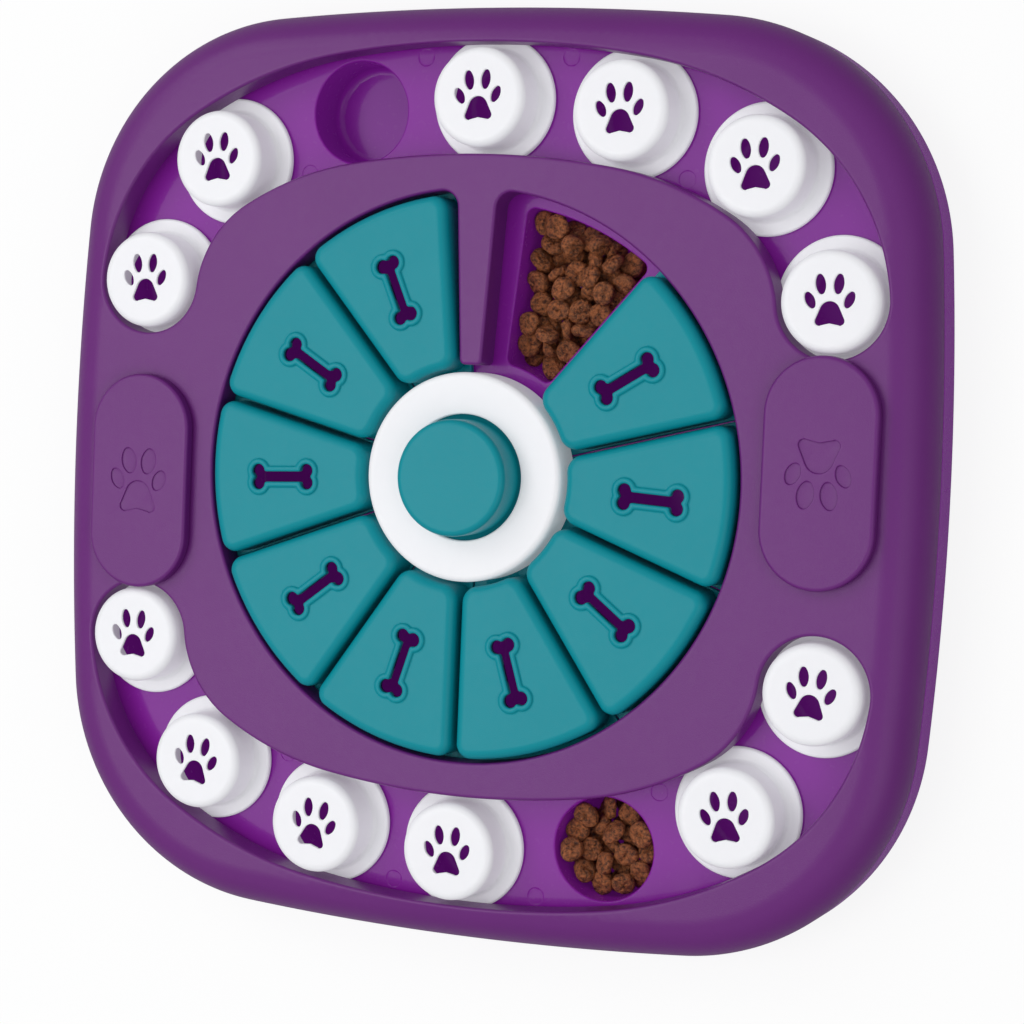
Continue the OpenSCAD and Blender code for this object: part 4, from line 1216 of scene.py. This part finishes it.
# %% One biscuit
def biscuit(rng, radius, height, dimple):
    """Disc on a grid of angle and profile. The profile is a rounded rectangle:
    |r/R|^3 + |z/h|^3 = 1. Waves make the outline uneven, and a Gaussian hollow
    makes the dimple."""
    across, around = 11, 24
    t = np.linspace(0.04, math.pi - 0.04, across)[:, None]
    a = (2 * math.pi * np.arange(around) / around)[None, :]
    r = np.abs(np.sin(t)) ** (2 / 3) * radius
    z = np.sign(np.cos(t)) * np.abs(np.cos(t)) ** (2 / 3) * height / 2
    phase = rng.uniform(0, 6.28, 4)
    wave = 1 + 0.05 * np.sin(2 * a + phase[0]) + 0.04 * np.sin(3 * a + phase[1])
    r = r * wave
    z = z * (1 + 0.08 * np.sin(2 * a + phase[2]))
    z = z + 0.25 * np.sin(4 * a + phase[3] + 3 * t)
    z = z - dimple * np.exp(-((r / 0.9) ** 2)) * (z > 0)
    grid = np.stack([r * np.cos(a), r * np.sin(a), z + 0 * a], -1).reshape(-1, 3)
    grid += rng.normal(0, 0.09, grid.shape)
    ends = np.array([[0, 0, height / 2 - dimple], [0, 0, -height / 2]])
    points = np.concatenate([grid, ends])
    i, j = np.arange(across - 1)[:, None] * around, np.arange(around)[None, :]
    k = (j + 1) % around
    sides = [i + j, i + around + j, i + around + k, i + k]
    sides = np.stack(sides, -1).reshape(-1, 4)
    j, k, last = j[0], k[0], (across - 1) * around
    top, low = np.full(around, len(grid)), np.full(around, len(grid) + 1)
    caps = np.stack([top, j, k, low, last + k, last + j], 1).reshape(-1, 3)
    return points, [sides, caps]


def settle(rng, count, fits, size, low, high, steps=260):
    """Balls fall into a well: each step lowers them a little, pushes pairs apart
    that are closer than one size, and brings back those that leave the well."""
    span, fall = 60.0, 0.12
    at = np.empty((0, 3))
    while len(at) < count:
        tries = rng.uniform(-span, span, (400, 2))
        tries = tries[fits(tries) > 0]
        z = rng.uniform(low, high, len(tries))
        at = np.concatenate([at, np.column_stack([tries, z])])[:count]
    for _ in range(steps):
        at[:, 2] -= fall
        gap = at[:, None, :] - at[None, :, :]
        far = np.linalg.norm(gap, axis=2) + np.eye(count) * 1e3
        push = np.clip(size - far, 0, None)[..., None] * gap / far[..., None]
        at += 0.45 * push.sum(1)
        for _ in range(2):
            room = fits(at[:, :2])
            lean = [fits(at[:, :2] + d) - fits(at[:, :2] - d) for d in 0.2 * np.eye(2)]
            lean = np.stack(lean, 1) / 0.4
            at[:, :2] += np.clip(-room, 0, 3)[:, None] * lean
        at[:, 2] = np.clip(at[:, 2], low, high)
    return at


BISCUIT_PITCH = 9.2


def fill_well(name, seed, count, centre, fits, high):
    """Biscuits of 9.4 to 11 mm with random leans at the settled places, as one
    mesh."""
    rng = np.random.default_rng(seed)
    at = settle(rng, count, fits, BISCUIT_PITCH, WELL_BOTTOM + 3.6, high)
    points, faces, start = [], [], 0
    for p in at:
        radius, height = rng.uniform(4.7, 5.5), rng.uniform(4.2, 5.4)
        shape, skin_faces = biscuit(rng, radius, height, rng.choice([0.0, 0.4, 1.6]))
        lean, about = rng.normal(0, 0.75), rng.uniform(0, 6.28)
        spin = Matrix.Rotation(rng.uniform(0, 6.28), 3, "Z")
        tip = Matrix.Rotation(lean, 3, (math.cos(about), math.sin(about), 0))
        shape = shape @ np.array(spin @ tip).T + p + [centre[0], centre[1], 0]
        points.append(shape)
        faces += [f for part in skin_faces for f in (part + start).tolist()]
        start += len(shape)
    points = np.concatenate(points)
    data = bpy.data.meshes.new(name)
    data.from_pydata([tuple(v * MM) for v in points], [], faces)
    data.update()
    data.polygons.foreach_set("use_smooth", [True] * len(data.polygons))
    link_mesh(name, data, BAKED)
    print(name, "biscuits", count, "top", round(float(points[:, 2].max()), 1))


# %% Fill the open cup and the open pocket
open_pocket = turned(pocket, OPEN_SLOT)
pocket_middle = open_pocket.mean(0)


def in_cup(p):
    """Distance from the wall of the cup, positive inside, less half a biscuit."""
    return CUP_RADIUS - DRAFT - 4.9 - np.linalg.norm(p, axis=1)


def in_pocket(p):
    """Distance from the wall of the pocket, positive inside, less half a biscuit."""
    q = p + pocket_middle
    sign = np.where(inside(q, open_pocket), 1, -1)
    return sign * distance_to(q, open_pocket) - 5.2


fill_well("food_in_cup", 5, 34, -STOPS[OPEN_STOP], in_cup, 21.0)
fill_well("food_in_pocket", 11, 66, pocket_middle, in_pocket, 20.6)

# %% [markdown]
# ## Floor, light and camera
# The board lies on a plain white floor. Three soft square lamps light it: the
# key behind it on the left, one over its left half, and a weak one at the right.
# A pale world fills the shadows. To the camera, the backdrop is plain white and
# the floor nearly so, but neither throws that white on the toy. The camera looks
# down from the right side of the board with a long lens.

# %% Floor
FLOOR_HALF = 6.0
near, far = -FLOOR_HALF, FLOOR_HALF
corners = [(near, near, 0), (far, near, 0), (far, far, 0), (near, far, 0)]
floor_mesh = bpy.data.meshes.new("floor")
floor_mesh.from_pydata(corners, [], [(0, 1, 2, 3)])
paper = bpy.data.materials.new("white_paper")
paper.use_nodes = True
tree = paper.node_tree
tree.nodes.clear()


def mix_shaders(tree, factor, first, second):
    """The first shader where the factor is 0, the second where it is 1."""
    values = {0: factor, 1: first.outputs[0], 2: second.outputs[0]}
    return add_node(tree, "MixShader", values)


matt = add_node(tree, "BsdfDiffuse", {"Color": (0.92, 0.92, 0.92, 1)})
grey = add_node(tree, "BsdfDiffuse", {"Color": (0.45, 0.45, 0.45, 1)})
bright = add_node(tree, "Emission", {"Color": (1, 1, 1, 1), "Strength": 1.0})
seen = add_node(tree, "LightPath", {}).outputs["Is Camera Ray"]
whole = mix_shaders(tree, seen, grey, mix_shaders(tree, 0.85, matt, bright))
add_node(tree, "OutputMaterial", {"Surface": whole.outputs[0]})
link_mesh("floor", floor_mesh, paper)

# %% World: brighter overhead than at the horizon, and white to the camera
world = bpy.data.worlds.new("soft_room")
bpy.context.scene.world = world
world.use_nodes = True
tree = world.node_tree
place = add_node(tree, "TexCoord", {}).outputs["Generated"]
height = add_node(tree, "SeparateXYZ", {"Vector": place}).outputs["Z"]
values = {"Value": height, "To Min": 0.34, "To Max": 0.78}
level = add_node(tree, "MapRange", values).outputs["Result"]
sky = tree.nodes["Background"]
set_inputs(sky, {"Color": (0.98, 0.99, 1.0, 1), "Strength": level})
backdrop = add_node(tree, "Background", {"Color": (1, 1, 1, 1), "Strength": 1.0})
seen = add_node(tree, "LightPath", {}).outputs["Is Camera Ray"]
either = mix_shaders(tree, seen, sky, backdrop)
set_inputs(tree.nodes["World Output"], {"Surface": either.outputs[0]})


# %% Lamps
AIM = Vector((0, 0, 0.03))


def soft_lamp(name, place, size, watts):
    """A square area lamp at a place, turned to the middle of the toy."""
    lamp = bpy.data.lights.new(name, "AREA")
    lamp.shape = "SQUARE"
    lamp.size = size
    lamp.energy = watts
    made = bpy.data.objects.new(name, lamp)
    bpy.context.scene.collection.objects.link(made)
    made.location = place
    made.rotation_euler = (AIM - Vector(place)).to_track_quat("-Z", "Y").to_euler()


soft_lamp("key", (-1.7, 1.5, 2.2), 1.2, 14)
soft_lamp("fill", (1.8, -0.7, 1.6), 1.6, 7)
soft_lamp("overhead", (-0.80, -0.1, 1.9), 1.05, 11)

# %% Camera
camera_data = bpy.data.cameras.new("camera")
camera_data.lens = 95.90
camera_data.sensor_width = 36.0
camera_data.clip_end = 20.0
camera = bpy.data.objects.new("camera", camera_data)
bpy.context.scene.collection.objects.link(camera)
back = -np.array([-0.38071, -0.05826, -0.92286])
up = np.array([-0.06122, 0.99741, -0.03771])
back /= np.linalg.norm(back)
right = np.cross(up, back)
right /= np.linalg.norm(right)
up = np.cross(back, right)
pose = Matrix.Identity(4)
for row in range(3):
    pose[row][0], pose[row][1], pose[row][2] = right[row], up[row], back[row]
pose.translation = Vector((0.4383, 0.0510, 1.0523))
camera.matrix_world = pose
bpy.context.scene.camera = camera
bpy.context.scene.view_settings.view_transform = "Standard"
